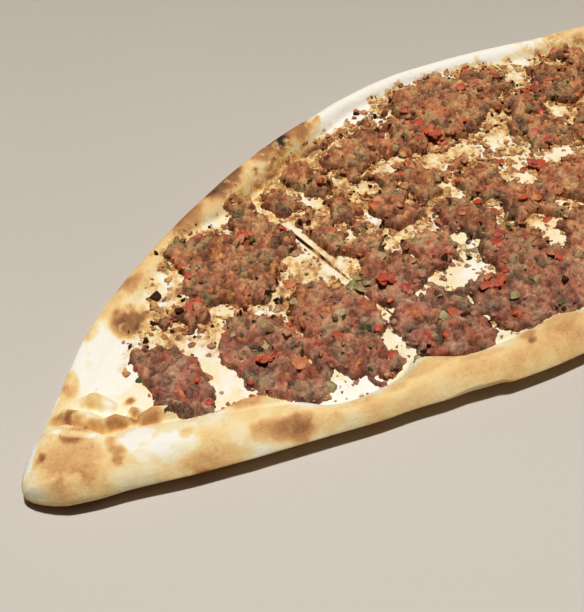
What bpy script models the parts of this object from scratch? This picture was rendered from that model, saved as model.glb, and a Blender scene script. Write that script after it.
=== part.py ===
"""A Turkish pide: a long leaf-shaped flatbread with a rolled rim, folded tips and a minced-meat topping.

Units are metres, +Z is up. The bread lies on z = 0 with its length along X and its middle at the origin.
One half of the outline is the other half given a half turn, as a baker pulls the dough from both ends.
"""
import math

import bmesh
import bpy
from mathutils import Vector, noise
from mathutils.bvhtree import BVHTree

# Driving dimensions of the bread
LENGTH = 0.460
HALF_LENGTH = LENGTH / 2
FLOOR_TOP = 0.005            # thickness of the flat floor of the bread
BULGE_HEIGHT = 0.0058        # height at which the edge stands furthest out
EDGE_LIFT = 0.0036           # how far the underside has risen where it meets the edge
NEAR_RAISE = 0.0014          # the -Y edge stands this much higher, away from the tips
RAISE_START = 0.005          # distances from the tip between which that edge rises
RAISE_END = 0.050
LIFT_REACH = 0.014           # how far in from the edge the underside starts to rise
LIFT_SHARE = 0.45            # the risen part is at most this share of the width
TIP_ROUNDING = 0.004         # radius of the blunt ends
CREST = 0.42                 # where the top of the rim lies, as a share of the rim's width
RIM_BLUNTNESS = 1.75         # how blunt the rim's outer side is, 2 being a quarter ellipse
RIM_STEEPNESS = 0.72         # how steeply that side leaves the edge, 0.5 being a quarter ellipse
RIM_SHARE = 0.95             # the rims may fill at most this share of the half width
LEAST_RIM = 0.001
UNEVENNESS = 0.0007          # the rim rises and sinks by about this much
WAVER_SIZE = 0.026           # length of one rise and sink
WAVER_ROWS = (9.0, 4.0)      # where the -Y and the +Y rim read their unevenness
ROUNDNESS = 0.8              # shape of the rim's inner side and of the pleats, 0.5 being an ellipse
PROBE = 0.002                # distance over which the outline's slope is measured
GAP = 0.0003                 # air left between pieces that touch

# Half width of the bread at a distance from the nearer tip, for its fuller and its leaner side
FULL_SIDE = ((0.000, 0.0030), (0.013, 0.0130), (0.030, 0.0272), (0.060, 0.0490), (0.104, 0.0680),
             (0.156, 0.0820), (0.190, 0.0865), (0.215, 0.0888), (0.230, 0.0890))
LEAN_SIDE = ((0.000, 0.0030), (0.016, 0.0165), (0.029, 0.0225), (0.051, 0.0330), (0.107, 0.0550),
             (0.136, 0.0655), (0.159, 0.0750), (0.186, 0.0830), (0.210, 0.0880), (0.230, 0.0890))

# Height and width of the rolled rim along X, on the -Y side and on the +Y side
NEAR_RIM = ((-0.230, 0.0140, 0.020), (-0.190, 0.0140, 0.027), (-0.150, 0.0138, 0.022),
            (-0.090, 0.0130, 0.020), (0.000, 0.0128, 0.020), (0.100, 0.0130, 0.019),
            (0.160, 0.0120, 0.017), (0.200, 0.0100, 0.016), (0.230, 0.0140, 0.018))
FAR_RIM = ((-0.230, 0.0140, 0.018), (-0.205, 0.0085, 0.016), (-0.160, 0.0075, 0.015),
           (-0.125, 0.0080, 0.009), (-0.095, 0.0125, 0.013), (-0.050, 0.0130, 0.013),
           (-0.020, 0.0100, 0.011), (0.040, 0.0085, 0.010), (0.090, 0.0090, 0.011),
           (0.140, 0.0120, 0.018), (0.190, 0.0138, 0.025), (0.230, 0.0140, 0.020))

# The tip is folded over the bread: how far the fold reaches and how it leans with y
FLAP_TOP = 0.0138
FLAP_REACH = 0.029
FLAP_LEAN = -0.25
FLAP_FALL = 0.006
FLAP_ROUND = 0.010
# Smaller pleats beside the fold: both ends of the crest as (distance from tip, y), height, half width
PLEATS = (((0.032, 0.020), (0.041, 0.005), 0.0102, 0.0065),
          ((0.040, 0.003), (0.057, -0.008), 0.0096, 0.0055))

# The knife cut across the bread: a slender opening right through the floor
SLIT_CENTRE = (-0.0790, 0.0205)
SLIT_LENGTH = 0.046
SLIT_WIDTH = 0.0016
SLIT_TURN = math.radians(2)
SLIT_SEGMENTS = 20
CUTTER_HEIGHT = 0.030        # the knife reaches half of this above and below z = 0

# Resolution of the loft
FIRST_STEP = 0.0032
LAST_STEP = 0.0105
ROUND_STATIONS = 3
FIRST_TURN = 0.6             # the first section stands this share of a turn step from the tip
FOLDS_END = 0.057            # distance from the tip at which the sections start to spread out
RIM_SHARES = (0.05, 0.16, 0.30, 0.42, 0.58, 0.75, 0.90, 1.0)
LIFT_SHARES = (0.12, 0.40, 1.0)
FLOOR_SHARES = (0.25, 0.50, 0.75)

# Patches of minced meat: centre x, y, length along X, width along Y, height
MEAT_PATCHES = (
    (-0.162, 0.002, 0.019, 0.036, 0.0062), (-0.141, 0.026, 0.012, 0.015, 0.0045),
    (-0.125, 0.057, 0.013, 0.011, 0.0042), (-0.113, 0.038, 0.038, 0.042, 0.0068),
    (-0.089, 0.044, 0.015, 0.036, 0.0058), (-0.128, -0.008, 0.028, 0.052, 0.0066),
    (-0.098, -0.020, 0.029, 0.048, 0.0066), (-0.063, -0.008, 0.026, 0.024, 0.0062),
    (-0.066, -0.040, 0.034, 0.038, 0.0066), (-0.038, -0.049, 0.022, 0.032, 0.0062),
    (-0.015, -0.041, 0.026, 0.054, 0.0068), (-0.040, -0.008, 0.020, 0.020, 0.0050),
    (-0.018, -0.004, 0.020, 0.024, 0.0058), (-0.062, 0.009, 0.016, 0.012, 0.0048),
    (-0.069, 0.023, 0.020, 0.015, 0.0050), (-0.053, 0.031, 0.012, 0.024, 0.0050),
    (-0.072, 0.050, 0.018, 0.018, 0.0052), (-0.054, 0.058, 0.018, 0.022, 0.0056),
    (-0.032, 0.055, 0.020, 0.022, 0.0056), (-0.037, 0.018, 0.020, 0.018, 0.0052),
    (-0.031, 0.035, 0.016, 0.012, 0.0046), (-0.017, 0.025, 0.018, 0.018, 0.0054),
    (-0.013, 0.060, 0.016, 0.016, 0.0054), (-0.004, 0.044, 0.018, 0.018, 0.0056),
    (0.006, 0.010, 0.020, 0.019, 0.0056), (0.025, 0.054, 0.048, 0.040, 0.0070),
    (0.058, 0.050, 0.017, 0.022, 0.0056), (0.057, 0.031, 0.016, 0.016, 0.0054),
    (0.049, 0.013, 0.020, 0.026, 0.0060), (0.086, 0.033, 0.026, 0.022, 0.0058),
    (0.107, 0.038, 0.018, 0.014, 0.0052), (0.014, -0.013, 0.026, 0.018, 0.0060),
    (0.041, -0.020, 0.028, 0.022, 0.0062), (0.018, -0.050, 0.030, 0.040, 0.0064),
    (0.053, -0.052, 0.034, 0.038, 0.0066), (0.078, -0.012, 0.032, 0.034, 0.0064),
    (0.089, -0.047, 0.032, 0.030, 0.0064), (0.106, 0.010, 0.026, 0.032, 0.0060),
    (0.120, -0.028, 0.034, 0.038, 0.0064), (0.138, 0.010, 0.026, 0.024, 0.0058),
    (0.152, -0.020, 0.026, 0.026, 0.0056),
)
PATCH_SEGMENTS = 12
PATCH_RINGS = 6
PATCH_LUMPS = 0.20           # how uneven a patch's outline is, as a share of its radius
PATCH_SPREAD = 1.08          # how far the loose edge of a patch spreads past its named size
LUMPS_AROUND = 1.6           # how many lumps its outline has on each side
PATCH_APART = 3.1            # makes the lumps of neighbouring patches differ
PATCH_FULLNESS = 0.75        # below 1, the patch keeps its height further out
PATCH_BLUNTNESS = 0.6
KNOB_SIZE = 0.0077           # size and relative height of the knobs on a patch
KNOB_DEPTH = 0.18
PATCH_MARGIN = 0.0004        # extra air under a patch where the floor curves up to the rim

# Pieces of pepper and tomato: name, centre x, y, length, width, height, turn in degrees
PIECES = (
    ("tomato_1", -0.098, 0.046, 0.010, 0.008, 0.0030, 20),
    ("tomato_2", -0.132, -0.012, 0.011, 0.008, 0.0028, -25),
    ("tomato_3", -0.039, -0.039, 0.014, 0.009, 0.0028, 15),
    ("tomato_4", 0.022, 0.012, 0.012, 0.010, 0.0030, -10),
    ("tomato_5", 0.031, -0.005, 0.010, 0.014, 0.0030, -25),
    ("tomato_6", 0.112, -0.024, 0.012, 0.010, 0.0028, 40),
    ("red_pepper_1", -0.137, 0.028, 0.009, 0.007, 0.0026, 50),
    ("red_pepper_2", -0.070, -0.011, 0.009, 0.007, 0.0026, 10),
    ("red_pepper_3", 0.009, 0.040, 0.012, 0.006, 0.0026, 70),
    ("red_pepper_4", 0.132, 0.010, 0.010, 0.007, 0.0026, 25),
    ("green_pepper_1", -0.1675, 0.0265, 0.008, 0.007, 0.0026, 15),
    ("green_pepper_2", -0.079, -0.004, 0.010, 0.009, 0.0026, -20),
    ("green_pepper_3", 0.078, -0.016, 0.010, 0.008, 0.0026, 15),
)
PIECE_ROUNDING = 0.0009
TOMATO_SEGMENTS = 12
FOOTPRINT_SPOKES = 8
FOOTPRINT_RINGS = (0.5, 1.0)
ABOVE_ALL = 1.0

# Colours, linear RGB
DOUGH_COLOUR = (0.72, 0.50, 0.27)
MEAT_COLOUR = (0.27, 0.12, 0.07)
PIECE_COLOURS = {"tomato": (0.50, 0.06, 0.02), "red": (0.42, 0.03, 0.01), "green": (0.30, 0.26, 0.09)}
DOUGH_ROUGHNESS = 0.75
MEAT_ROUGHNESS = 0.60
PIECE_ROUGHNESS = 0.40
SMOOTH_ANGLE = math.radians(50)


def clear_scene():
    """Start from an empty scene."""
    for old in list(bpy.data.objects):
        bpy.data.objects.remove(old, do_unlink=True)


def new_collection(name):
    """A collection under the scene's own."""
    collection = bpy.data.collections.new(name)
    bpy.context.scene.collection.children.link(collection)
    return collection


def smooth_through(points, x, column=1):
    """Value at x of a smooth curve through points sorted by their first number."""
    last = len(points) - 1
    if x <= points[0][0]:
        return points[0][column]
    if x >= points[last][0]:
        return points[last][column]
    i = 0
    while points[i + 1][0] < x:
        i += 1

    def slope(k):
        before, after = max(k - 1, 0), min(k + 1, last)
        run = points[after][0] - points[before][0]
        return (points[after][column] - points[before][column]) / run

    start, end = points[i], points[i + 1]
    run = end[0] - start[0]
    t = (x - start[0]) / run
    rise = 3 * t * t - 2 * t * t * t
    out = t * (1 - t) * (1 - t)
    back = t * t * (1 - t)
    return start[column] * (1 - rise) + end[column] * rise + run * (slope(i) * out - slope(i + 1) * back)


def smooth_step(t):
    """0 below 0, 1 above 1, and a soft climb between."""
    t = min(1.0, max(0.0, t))
    return t * t * (3 - 2 * t)


def edge_reach(x, far_side):
    """Distance from the X axis to the outline at x, on the +Y side or the -Y side."""
    from_tip = HALF_LENGTH - abs(x)
    side = FULL_SIDE if (x < 0) == far_side else LEAN_SIDE
    reach = smooth_through(side, from_tip)
    if from_tip < TIP_ROUNDING:
        short = 1 - max(0.0, from_tip) / TIP_ROUNDING
        reach *= math.sqrt(1 - short * short)
    return reach


def raised(x, far_side):
    """How much higher than the far edge the near edge stands at x."""
    from_tip = HALF_LENGTH - abs(x)
    return 0.0 if far_side else NEAR_RAISE * smooth_step((from_tip - RAISE_START) / (RAISE_END - RAISE_START))


def inset(x, y, far_side):
    """Distance from a point to the outline on one side, measured square to the outline."""
    reach = edge_reach(x, far_side)
    slope = (edge_reach(x + PROBE, far_side) - edge_reach(x - PROBE, far_side)) / (2 * PROBE)
    across = reach - (y if far_side else -y)
    return across / math.sqrt(1 + slope * slope)


def rim_size(x, far_side):
    """Height and width of the rolled rim at x."""
    table = FAR_RIM if far_side else NEAR_RIM
    waver = noise.noise(Vector((x / WAVER_SIZE, WAVER_ROWS[far_side], 0.5)))
    height = smooth_through(table, x, 1) + UNEVENNESS * waver
    narrow = RIM_SHARE * edge_reach(x, far_side)
    return height, min(smooth_through(table, x, 2), max(narrow, LEAST_RIM))


def rim_height(x, y, far_side):
    """Top of the rolled rim over a point, or the floor's top where the rim has ended."""
    height, width = rim_size(x, far_side)
    t = max(0.0, inset(x, y, far_side)) / width
    if t < CREST:
        bulge = BULGE_HEIGHT + raised(x, far_side)
        climb = (1 - (1 - t / CREST) ** RIM_BLUNTNESS) ** RIM_STEEPNESS
        return bulge + (height - bulge) * climb
    if t < 1:
        past = (t - CREST) / (1 - CREST)
        return FLOOR_TOP + (height - FLOOR_TOP) * (1 - past * past) ** ROUNDNESS
    return FLOOR_TOP


def flap_height(x, y):
    """Top of the folded-over tip, or the floor's top away from it."""
    from_tip = HALF_LENGTH - abs(x)
    lean = y if x < 0 else -y
    reach = FLAP_REACH + FLAP_LEAN * lean
    cover = smooth_step((reach - from_tip) / FLAP_FALL)
    near_edge = min(inset(x, y, True), inset(x, y, False))
    short = 1 - min(1.0, max(0.0, near_edge) / FLAP_ROUND)
    crown = BULGE_HEIGHT + (FLAP_TOP - BULGE_HEIGHT) * math.sqrt(1 - short * short)
    return FLOOR_TOP + (crown - FLOOR_TOP) * cover


def pleat_height(x, y, start, end, height, half_width):
    """Top of one small pleat, a rounded ridge along a straight crest."""
    spot = Vector((HALF_LENGTH - abs(x), y if x < 0 else -y))
    line = Vector(end) - Vector(start)
    along = max(0.0, min(1.0, (spot - Vector(start)).dot(line) / line.length_squared))
    away = (spot - Vector(start) - along * line).length / half_width
    if away >= 1:
        return FLOOR_TOP
    return FLOOR_TOP + (height - FLOOR_TOP) * (1 - away * away) ** ROUNDNESS


def dough_top(x, y):
    """Height of the bread's upper surface."""
    heights = [rim_height(x, y, True), rim_height(x, y, False), flap_height(x, y)]
    heights += [pleat_height(x, y, *pleat) for pleat in PLEATS]
    return max(heights)


def dough_bottom(x, y):
    """Height of the underside, flat but for its rise towards the edge."""
    lifts = []
    for far_side in (True, False):
        reach = min(LIFT_REACH, LIFT_SHARE * (edge_reach(x, True) + edge_reach(x, False)) + LEAST_RIM)
        away = 1 - min(1.0, max(0.0, inset(x, y, far_side)) / reach)
        lifts.append((EDGE_LIFT + raised(x, far_side)) * away * away)
    return max(lifts)


def stations():
    """X positions of the cross-sections, close together at the folded tips."""
    quarter = math.pi / 2
    from_tip = [TIP_ROUNDING * (1 - math.cos(quarter * (i + FIRST_TURN) / ROUND_STATIONS))
                for i in range(ROUND_STATIONS)]
    step = FIRST_STEP
    while from_tip[-1] + step < HALF_LENGTH - LAST_STEP / 2:
        from_tip.append(from_tip[-1] + step)
        share = smooth_step((from_tip[-1] - FOLDS_END) / FOLDS_END)
        step = FIRST_STEP + (LAST_STEP - FIRST_STEP) * share
    left = [-HALF_LENGTH + distance for distance in from_tip]
    return left + [0.0] + [-x for x in reversed(left)]


def section(x):
    """One closed cross-section: over the top from -Y to +Y, then back along the underside."""
    near, far = -edge_reach(x, False), edge_reach(x, True)
    near_rim, far_rim = rim_size(x, False)[1], rim_size(x, True)[1]
    near_foot, far_foot = near + near_rim, far - far_rim
    if near_foot > far_foot:
        near_foot = far_foot = (near + far) / 2
    top = [near]
    top += [near + share * (near_foot - near) for share in RIM_SHARES]
    top += [near_foot + share * (far_foot - near_foot) for share in FLOOR_SHARES]
    top += [far - share * (far - far_foot) for share in reversed(RIM_SHARES)]
    top += [far]
    reach = min(LIFT_REACH, LIFT_SHARE * (far - near))
    under = [far - share * reach for share in LIFT_SHARES]
    under += [near + share * reach for share in reversed(LIFT_SHARES)]
    ring = [(x, y, dough_top(x, y)) for y in top]
    ring[0] = (x, near, BULGE_HEIGHT + raised(x, False))
    ring[len(top) - 1] = (x, far, BULGE_HEIGHT)
    return ring + [(x, y, dough_bottom(x, y)) for y in under]


def loft(rings, start_point, end_point):
    """A closed skin over a row of rings with the same number of points, drawn to a point at both ends."""
    mesh = bmesh.new()
    loops = [[mesh.verts.new(point) for point in ring] for ring in rings]
    count = len(loops[0])
    for one, two in zip(loops, loops[1:]):
        for i in range(count):
            j = (i + 1) % count
            mesh.faces.new((one[i], one[j], two[j], two[i]))
    for loop, point in ((loops[0], start_point), (loops[-1], end_point)):
        tip = mesh.verts.new(point)
        for i in range(count):
            mesh.faces.new((loop[i], loop[(i + 1) % count], tip))
    bmesh.ops.recalc_face_normals(mesh, faces=mesh.faces)
    return mesh


def finish(name, mesh, collection, colour, roughness):
    """Turn a bmesh into a named object with its own material."""
    data = bpy.data.meshes.new(name)
    mesh.to_mesh(data)
    mesh.free()
    data.shade_smooth()
    data.set_sharp_from_angle(angle=SMOOTH_ANGLE)
    material = bpy.data.materials.new(name)
    material.use_nodes = True
    shader = material.node_tree.nodes["Principled BSDF"]
    shader.inputs["Base Color"].default_value = (*colour, 1.0)
    shader.inputs["Roughness"].default_value = roughness
    shader.inputs["Metallic"].default_value = 0.0
    data.materials.append(material)
    piece = bpy.data.objects.new(name, data)
    collection.objects.link(piece)
    return piece


def make_slit_cutter(collection):
    """The knife's path: a slender upright lens that runs right through the floor."""
    mesh = bmesh.new()
    bmesh.ops.create_cone(mesh, cap_ends=True, segments=SLIT_SEGMENTS, radius1=1.0, radius2=1.0, depth=1.0)
    bmesh.ops.scale(mesh, vec=(SLIT_WIDTH / 2, SLIT_LENGTH / 2, CUTTER_HEIGHT), verts=mesh.verts)
    cutter = finish("slit_cutter", mesh, collection, DOUGH_COLOUR, DOUGH_ROUGHNESS)
    cutter.location = (*SLIT_CENTRE, 0.0)
    cutter.rotation_euler = (0.0, 0.0, SLIT_TURN)
    cutter.hide_render = True
    cutter.display_type = "WIRE"
    return cutter


def make_dough(collection, cutters):
    """The bread: one loft from tip to tip, with the knife cut through its floor."""
    rings = [section(x) for x in stations()]
    mesh = loft(rings, (-HALF_LENGTH, 0.0, BULGE_HEIGHT), (HALF_LENGTH, 0.0, BULGE_HEIGHT))
    dough = finish("dough", mesh, collection, DOUGH_COLOUR, DOUGH_ROUGHNESS)
    cut = dough.modifiers.new("slit", "BOOLEAN")
    cut.operation = "DIFFERENCE"
    cut.solver = "EXACT"
    cut.object = make_slit_cutter(cutters)
    return dough


def surface_tree(pieces):
    """Everything laid so far, as one surface to rest the next pieces on."""
    bpy.context.view_layer.update()
    points, faces = [], []
    for piece in pieces:
        start = len(points)
        points += [piece.matrix_world @ vert.co for vert in piece.data.vertices]
        faces += [[start + i for i in face.vertices] for face in piece.data.polygons]
    return BVHTree.FromPolygons(points, faces)


def height_under(tree, x, y):
    """Height of the surface below a point high above the bread."""
    hit = tree.ray_cast(Vector((x, y, ABOVE_ALL)), Vector((0.0, 0.0, -1.0)))[0]
    return hit.z if hit else 0.0


def patch_reach(index, angle):
    """How far a meat patch spreads in one direction: a lumpy oval that stops short of its neighbours."""
    x, y, length, width, _ = MEAT_PATCHES[index]
    way = Vector((math.cos(angle), math.sin(angle)))
    reach = 1 / math.hypot(way.x / (length / 2), way.y / (width / 2))
    lump = noise.noise(Vector((LUMPS_AROUND * way.x + PATCH_APART * index, LUMPS_AROUND * way.y, 0.0)))
    reach *= PATCH_SPREAD + PATCH_LUMPS * lump
    size = length + width
    for other, (other_x, other_y, other_length, other_width, _) in enumerate(MEAT_PATCHES):
        if other == index:
            continue
        between = Vector((other_x - x, other_y - y))
        share = size / (size + other_length + other_width)
        limit = between.length * share - GAP
        towards = way.dot(between.normalized())
        if towards > 0 and reach * towards > limit:
            reach = limit / towards
    return reach


def make_patch(index, collection, floor):
    """One low lumpy mound of minced meat that follows the bread under it."""
    x, y, _, _, height = MEAT_PATCHES[index]
    mesh = bmesh.new()
    bmesh.ops.create_uvsphere(mesh, u_segments=PATCH_SEGMENTS, v_segments=PATCH_RINGS, radius=1.0)
    for vert in mesh.verts:
        spread = math.hypot(vert.co.x, vert.co.y)
        rise = max(0.0, vert.co.z)
        angle = math.atan2(vert.co.y, vert.co.x)
        reach = patch_reach(index, angle) * spread ** PATCH_FULLNESS
        spot = Vector((x + reach * math.cos(angle), y + reach * math.sin(angle)))
        knob = 1 + KNOB_DEPTH * noise.noise(Vector((spot.x / KNOB_SIZE, spot.y / KNOB_SIZE, index)))
        ground = height_under(floor, spot.x, spot.y) + GAP + PATCH_MARGIN
        level = ground if rise == 0 else max(ground, FLOOR_TOP + GAP) + height * knob * rise ** PATCH_BLUNTNESS
        vert.co = (spot.x, spot.y, level)
    return finish(f"meat_{index + 1:02d}", mesh, collection, MEAT_COLOUR, MEAT_ROUGHNESS)


def highest_under(tree, x, y, radius):
    """Highest point of the surface under a round footprint."""
    heights = [height_under(tree, x, y)]
    for ring in FOOTPRINT_RINGS:
        for i in range(FOOTPRINT_SPOKES):
            angle = 2 * math.pi * i / FOOTPRINT_SPOKES
            side = (ring * radius * math.cos(angle), ring * radius * math.sin(angle))
            heights.append(height_under(tree, x + side[0], y + side[1]))
    return max(heights)


def make_piece(name, x, y, length, width, height, turn, collection, surface):
    """One chopped piece of vegetable with rounded edges, lying on what is under it."""
    mesh = bmesh.new()
    if name.startswith("tomato"):
        bmesh.ops.create_cone(mesh, cap_ends=True, segments=TOMATO_SEGMENTS, radius1=0.5, radius2=0.5, depth=1.0)
    else:
        bmesh.ops.create_cube(mesh, size=1.0)
    bmesh.ops.scale(mesh, vec=(length, width, height), verts=mesh.verts)
    bmesh.ops.bevel(mesh, geom=mesh.edges[:], offset=PIECE_ROUNDING, segments=1, affect="EDGES")
    piece = finish(name, mesh, collection, PIECE_COLOURS[name.split("_")[0]], PIECE_ROUGHNESS)
    base = highest_under(surface, x, y, max(length, width) / 2) + GAP
    piece.location = (x, y, base + height / 2)
    piece.rotation_euler = (0.0, 0.0, math.radians(turn))
    return piece


def main():
    clear_scene()
    pide = new_collection("turkish_pide")
    cutters = new_collection("cutters")
    dough = make_dough(pide, cutters)
    floor = surface_tree([dough])
    patches = [make_patch(index, pide, floor) for index in range(len(MEAT_PATCHES))]
    surface = surface_tree([dough] + patches)
    for entry in PIECES:
        make_piece(*entry, pide, surface)


main()
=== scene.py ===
"""The looks of a Turkish pide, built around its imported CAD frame.

Lengths are millimetres in the frame's axes until to_mesh turns them into metres; materials work in metres.
The bread is one lofted mesh whose upper side is a height field made of a floor, two rolled rims, the
folded tips and small pleats. The topping is two beds of minced meat with crumbs and chopped vegetables
on top: a mesh for each large piece, and one mesh or a few for each kind of small thing.
"""
import math
from functools import lru_cache

import bmesh
import bpy
import numpy as np
from mathutils import Matrix, Vector


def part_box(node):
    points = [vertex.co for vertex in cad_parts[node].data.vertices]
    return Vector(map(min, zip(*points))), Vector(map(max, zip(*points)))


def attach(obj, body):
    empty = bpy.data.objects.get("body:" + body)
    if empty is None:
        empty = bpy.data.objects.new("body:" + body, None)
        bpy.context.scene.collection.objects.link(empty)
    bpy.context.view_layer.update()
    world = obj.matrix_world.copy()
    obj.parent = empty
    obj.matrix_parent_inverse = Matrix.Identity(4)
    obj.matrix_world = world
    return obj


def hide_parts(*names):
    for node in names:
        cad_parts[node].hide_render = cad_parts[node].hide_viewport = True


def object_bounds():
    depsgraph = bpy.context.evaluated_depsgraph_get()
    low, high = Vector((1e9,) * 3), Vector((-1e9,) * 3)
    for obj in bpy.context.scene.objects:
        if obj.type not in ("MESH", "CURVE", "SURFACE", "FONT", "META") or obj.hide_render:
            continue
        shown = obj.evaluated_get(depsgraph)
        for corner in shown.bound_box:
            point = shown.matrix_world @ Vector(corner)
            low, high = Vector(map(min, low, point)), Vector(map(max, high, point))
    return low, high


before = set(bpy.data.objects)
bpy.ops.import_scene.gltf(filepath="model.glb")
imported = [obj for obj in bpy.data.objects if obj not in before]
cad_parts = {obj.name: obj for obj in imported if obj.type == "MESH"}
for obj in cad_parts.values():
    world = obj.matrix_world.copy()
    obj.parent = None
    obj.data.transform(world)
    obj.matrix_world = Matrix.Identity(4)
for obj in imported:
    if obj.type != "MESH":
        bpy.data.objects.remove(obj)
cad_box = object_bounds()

MM = 0.001
HALF_LENGTH = cad_box[1][0] / MM

# Every rough or swell noise below is named as (strength, distance between its hills, seed)

# ---- the bread's dimensions
FLOOR_TOP, FLOOR_DIP = 5.0, 0.2
FLOOR_HILLS, FLOOR_ROUGH = (0.45, 21, 41), (0.30, 7, 42)
BULGE_HEIGHT = 5.8  # height at which the edge stands furthest out
EDGE_LIFT = 3.6  # the underside has risen this much at the edge
NEAR_RAISE = 1.4  # the -Y edge stands this much higher, away from the tips
RAISE_START, RAISE_END = 5.0, 50.0
LIFT_REACH, LIFT_SHARE, LIFT_LEAST = 14.0, 0.45, 1.0  # how far in from the edge it rises
TIP_ROUNDING = 11.0
NOSE = 12.0  # the tips are rounded off in height over this length
EDGE_WAVER = ((0.5, 17, 31), (0.5, 17, 32))  # of the near outline and the far one
WAVER_START, WAVER_REST = 40, 60  # it fades out over these lengths at the tips and mid-length
CREST = 0.42  # the rim's top lies this share of its width from the edge
RIM_BLUNT, RIM_STEEP = 1.75, 0.86
INNER_BLUNT, INNER_STEEP = 2.2, 0.9
RIM_SEEDS = (60, 50)  # near and far
RIM_HILLS, RIM_LUMPS, RIM_WAIST = (0.55, 24), (0.35, 9), (0.05, 14)
NARROWEST_RIM, WIDEST_RIM = 1.0, 0.95  # in millimetres, and as a share of the half width
JOIN, FOLD_JOIN = 0.7, 0.35  # how softly the rims run into the floor, and the folds into each other
BURIED = 0.7  # how deep the topping's lower edges sink into the bread

# Half width at a distance from the nearer tip: each side is full on one half and lean on the other
FULL_SIDE = ((0, 7), (13, 14), (30, 27.2), (60, 49), (104, 68), (156, 82), (190, 86.5),
             (215, 88.8), (230, 89))
LEAN_SIDE = ((0, 8), (16, 17), (29, 22.5), (51, 33), (107, 55), (136, 65.5), (159, 75),
             (186, 83), (210, 88), (230, 89))

# Height and width of the rolled rim along X
NEAR_RIM = ((-230, 14, 18), (-205, 14, 25), (-188, 14.2, 28), (-172, 13.8, 25), (-158, 13.6, 24),
            (-146, 13.6, 23), (-136, 13.2, 20), (-126, 12.6, 14), (-110, 12.4, 14), (-97, 12.6, 16),
            (-86, 13.2, 22), (-74, 12.8, 20), (-58, 12.6, 19), (-42, 13, 21), (-32, 13, 23),
            (-15, 12.6, 19), (10, 13, 21), (45, 12.6, 18), (80, 13, 19), (120, 12.6, 18),
            (160, 12, 17), (200, 9.5, 15), (216, 11, 15), (230, 14, 18))
FAR_RIM = ((-230, 14, 14), (-215, 9.5, 10), (-195, 7.4, 11), (-160, 7.2, 12), (-128, 7.6, 8),
           (-112, 9.6, 8), (-96, 12, 13), (-70, 13, 15), (-45, 12.8, 13), (-28, 11, 11),
           (-5, 9.6, 10), (15, 9, 10), (45, 8.6, 9), (75, 8.8, 11), (100, 10, 13),
           (135, 12, 17), (170, 13.6, 23), (200, 14, 26), (230, 14, 18))
RIMS = (NEAR_RIM, FAR_RIM)

# The folded tip: its inner edge, from the far side to the near side, for the tip at -X
FLAP_EDGE = ((-222, 24), (-214, 15), (-209, 14), (-204, 11), (-200, 5), (-196, -2), (-192, -7),
             (-187, -10), (-180, -12))
FLAP_TOP = 13.8
FLAP_FALL = 3.4
FLAP_ROUND = 10.0
FLAP_ENDS = -176.0  # past here the fold is only the near rim
FLAP_FADE = 16.0
FLAP_FOOT = FLOOR_TOP - 1.0
FLAP_SWELL = (0.5, 12, 70)
# Pleats, each a chain of (x, y, half width, height): beside the fold of both tips, then on the -X half only
TIP_PLEATS = (
    ((-205, 19, 3.0, 7.8), (-202, 16.5, 5.0, 10.2), (-198, 11.5, 5.2, 11.0), (-195, 6.5, 4.2, 11.2),
     (-191.5, 1.0, 3.0, 10.8)),
    ((-195.5, 5, 3.0, 11.6), (-190, 2.5, 4.0, 13.0), (-186.5, -1.6, 3.2, 12.4)),
    ((-186.5, -5.5, 2.8, 11.0), (-182, -3.2, 3.8, 12.8), (-177.5, -3.7, 4.6, 12.8), (-172, -7.7, 5.2, 12.4),
     (-166, -12.5, 4.5, 11.4)),
    ((-185.4, 1.4, 2.0, 9.4), (-182.6, 3.0, 2.4, 10.6), (-180.2, 0.4, 2.0, 10.2)),
    ((-196, 19.5, 3.0, 7.4), (-190.5, 17.5, 4.4, 9.4), (-187, 11, 3.2, 8.0)),
)
LONE_PLEATS = (
    ((-160, -19, 3.5, 10.6), (-151, -22, 5.0, 12.6), (-142, -26, 5.0, 12.4), (-136, -31, 3.5, 11.0)),
    ((-73, -53.5, 1.6, 7.6), (-65, -56.5, 2.4, 9.4), (-57, -57, 2.6, 9.4), (-50, -60, 2.0, 8.8)),
)
PLEAT_POWER = 0.8  # how blunt a pleat's ridge is
RIDGE_FOOT = FLOOR_TOP - 2.0
# Crevices under the far roll's inner lip, dipped into the surface and coloured with painted shade: chains of
# (x, y, half width)
CREVICES = (
    ((-86, 63, 1.2), (-78, 65, 2.0), (-65, 68, 2.8), (-50, 70.5, 3.0), (-38, 72, 2.6), (-26, 73, 1.6)),
)
CREVICE_DEPTH = 2.2

# The knife cut across the bread, a slender lens deep into the floor with a hairline past it and a raised lip
SLIT_X, SLIT_Y = -79.0, 20.5
SLIT_LENGTH, SLIT_WIDTH = 46.0, 0.6
SLIT_TURN = math.radians(2)
SLIT_FLOOR = 0.9
SLIT_EDGE = 0.12  # how softly its sides begin
DEEP_FROM = 0.2  # half width from which it reaches the floor of the cut
SHEAR_REACH, SHEAR_START = 9.0, 1.5  # the mesh's rows run along the cut this near to it
HAIRLINE_END, HAIRLINE_HALF, HAIRLINE_DEPTH = -42.0, 0.14, 1.2
LIP_RISE, LIP_REACH, LIP_FALL = 0.9, 2.6, 1.6
LIP_START, LIP_END = (2, 14), (44, 6)  # y where the lip begins or ends, and over what length

# ---- numbers from formulas

LATTICE = 64  # points along each side of a grid of random numbers
OCTAVES, OCTAVE_SUM = 3, 1.5
JITTER = 0.45  # how far scattered points leave the middle of their cells
FAR_AWAY = 1e9


def smooth_step(t):
    """0 below 0, 1 above 1, and a soft climb between."""
    t = np.clip(t, 0.0, 1.0)
    return t * t * (3 - 2 * t)


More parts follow.
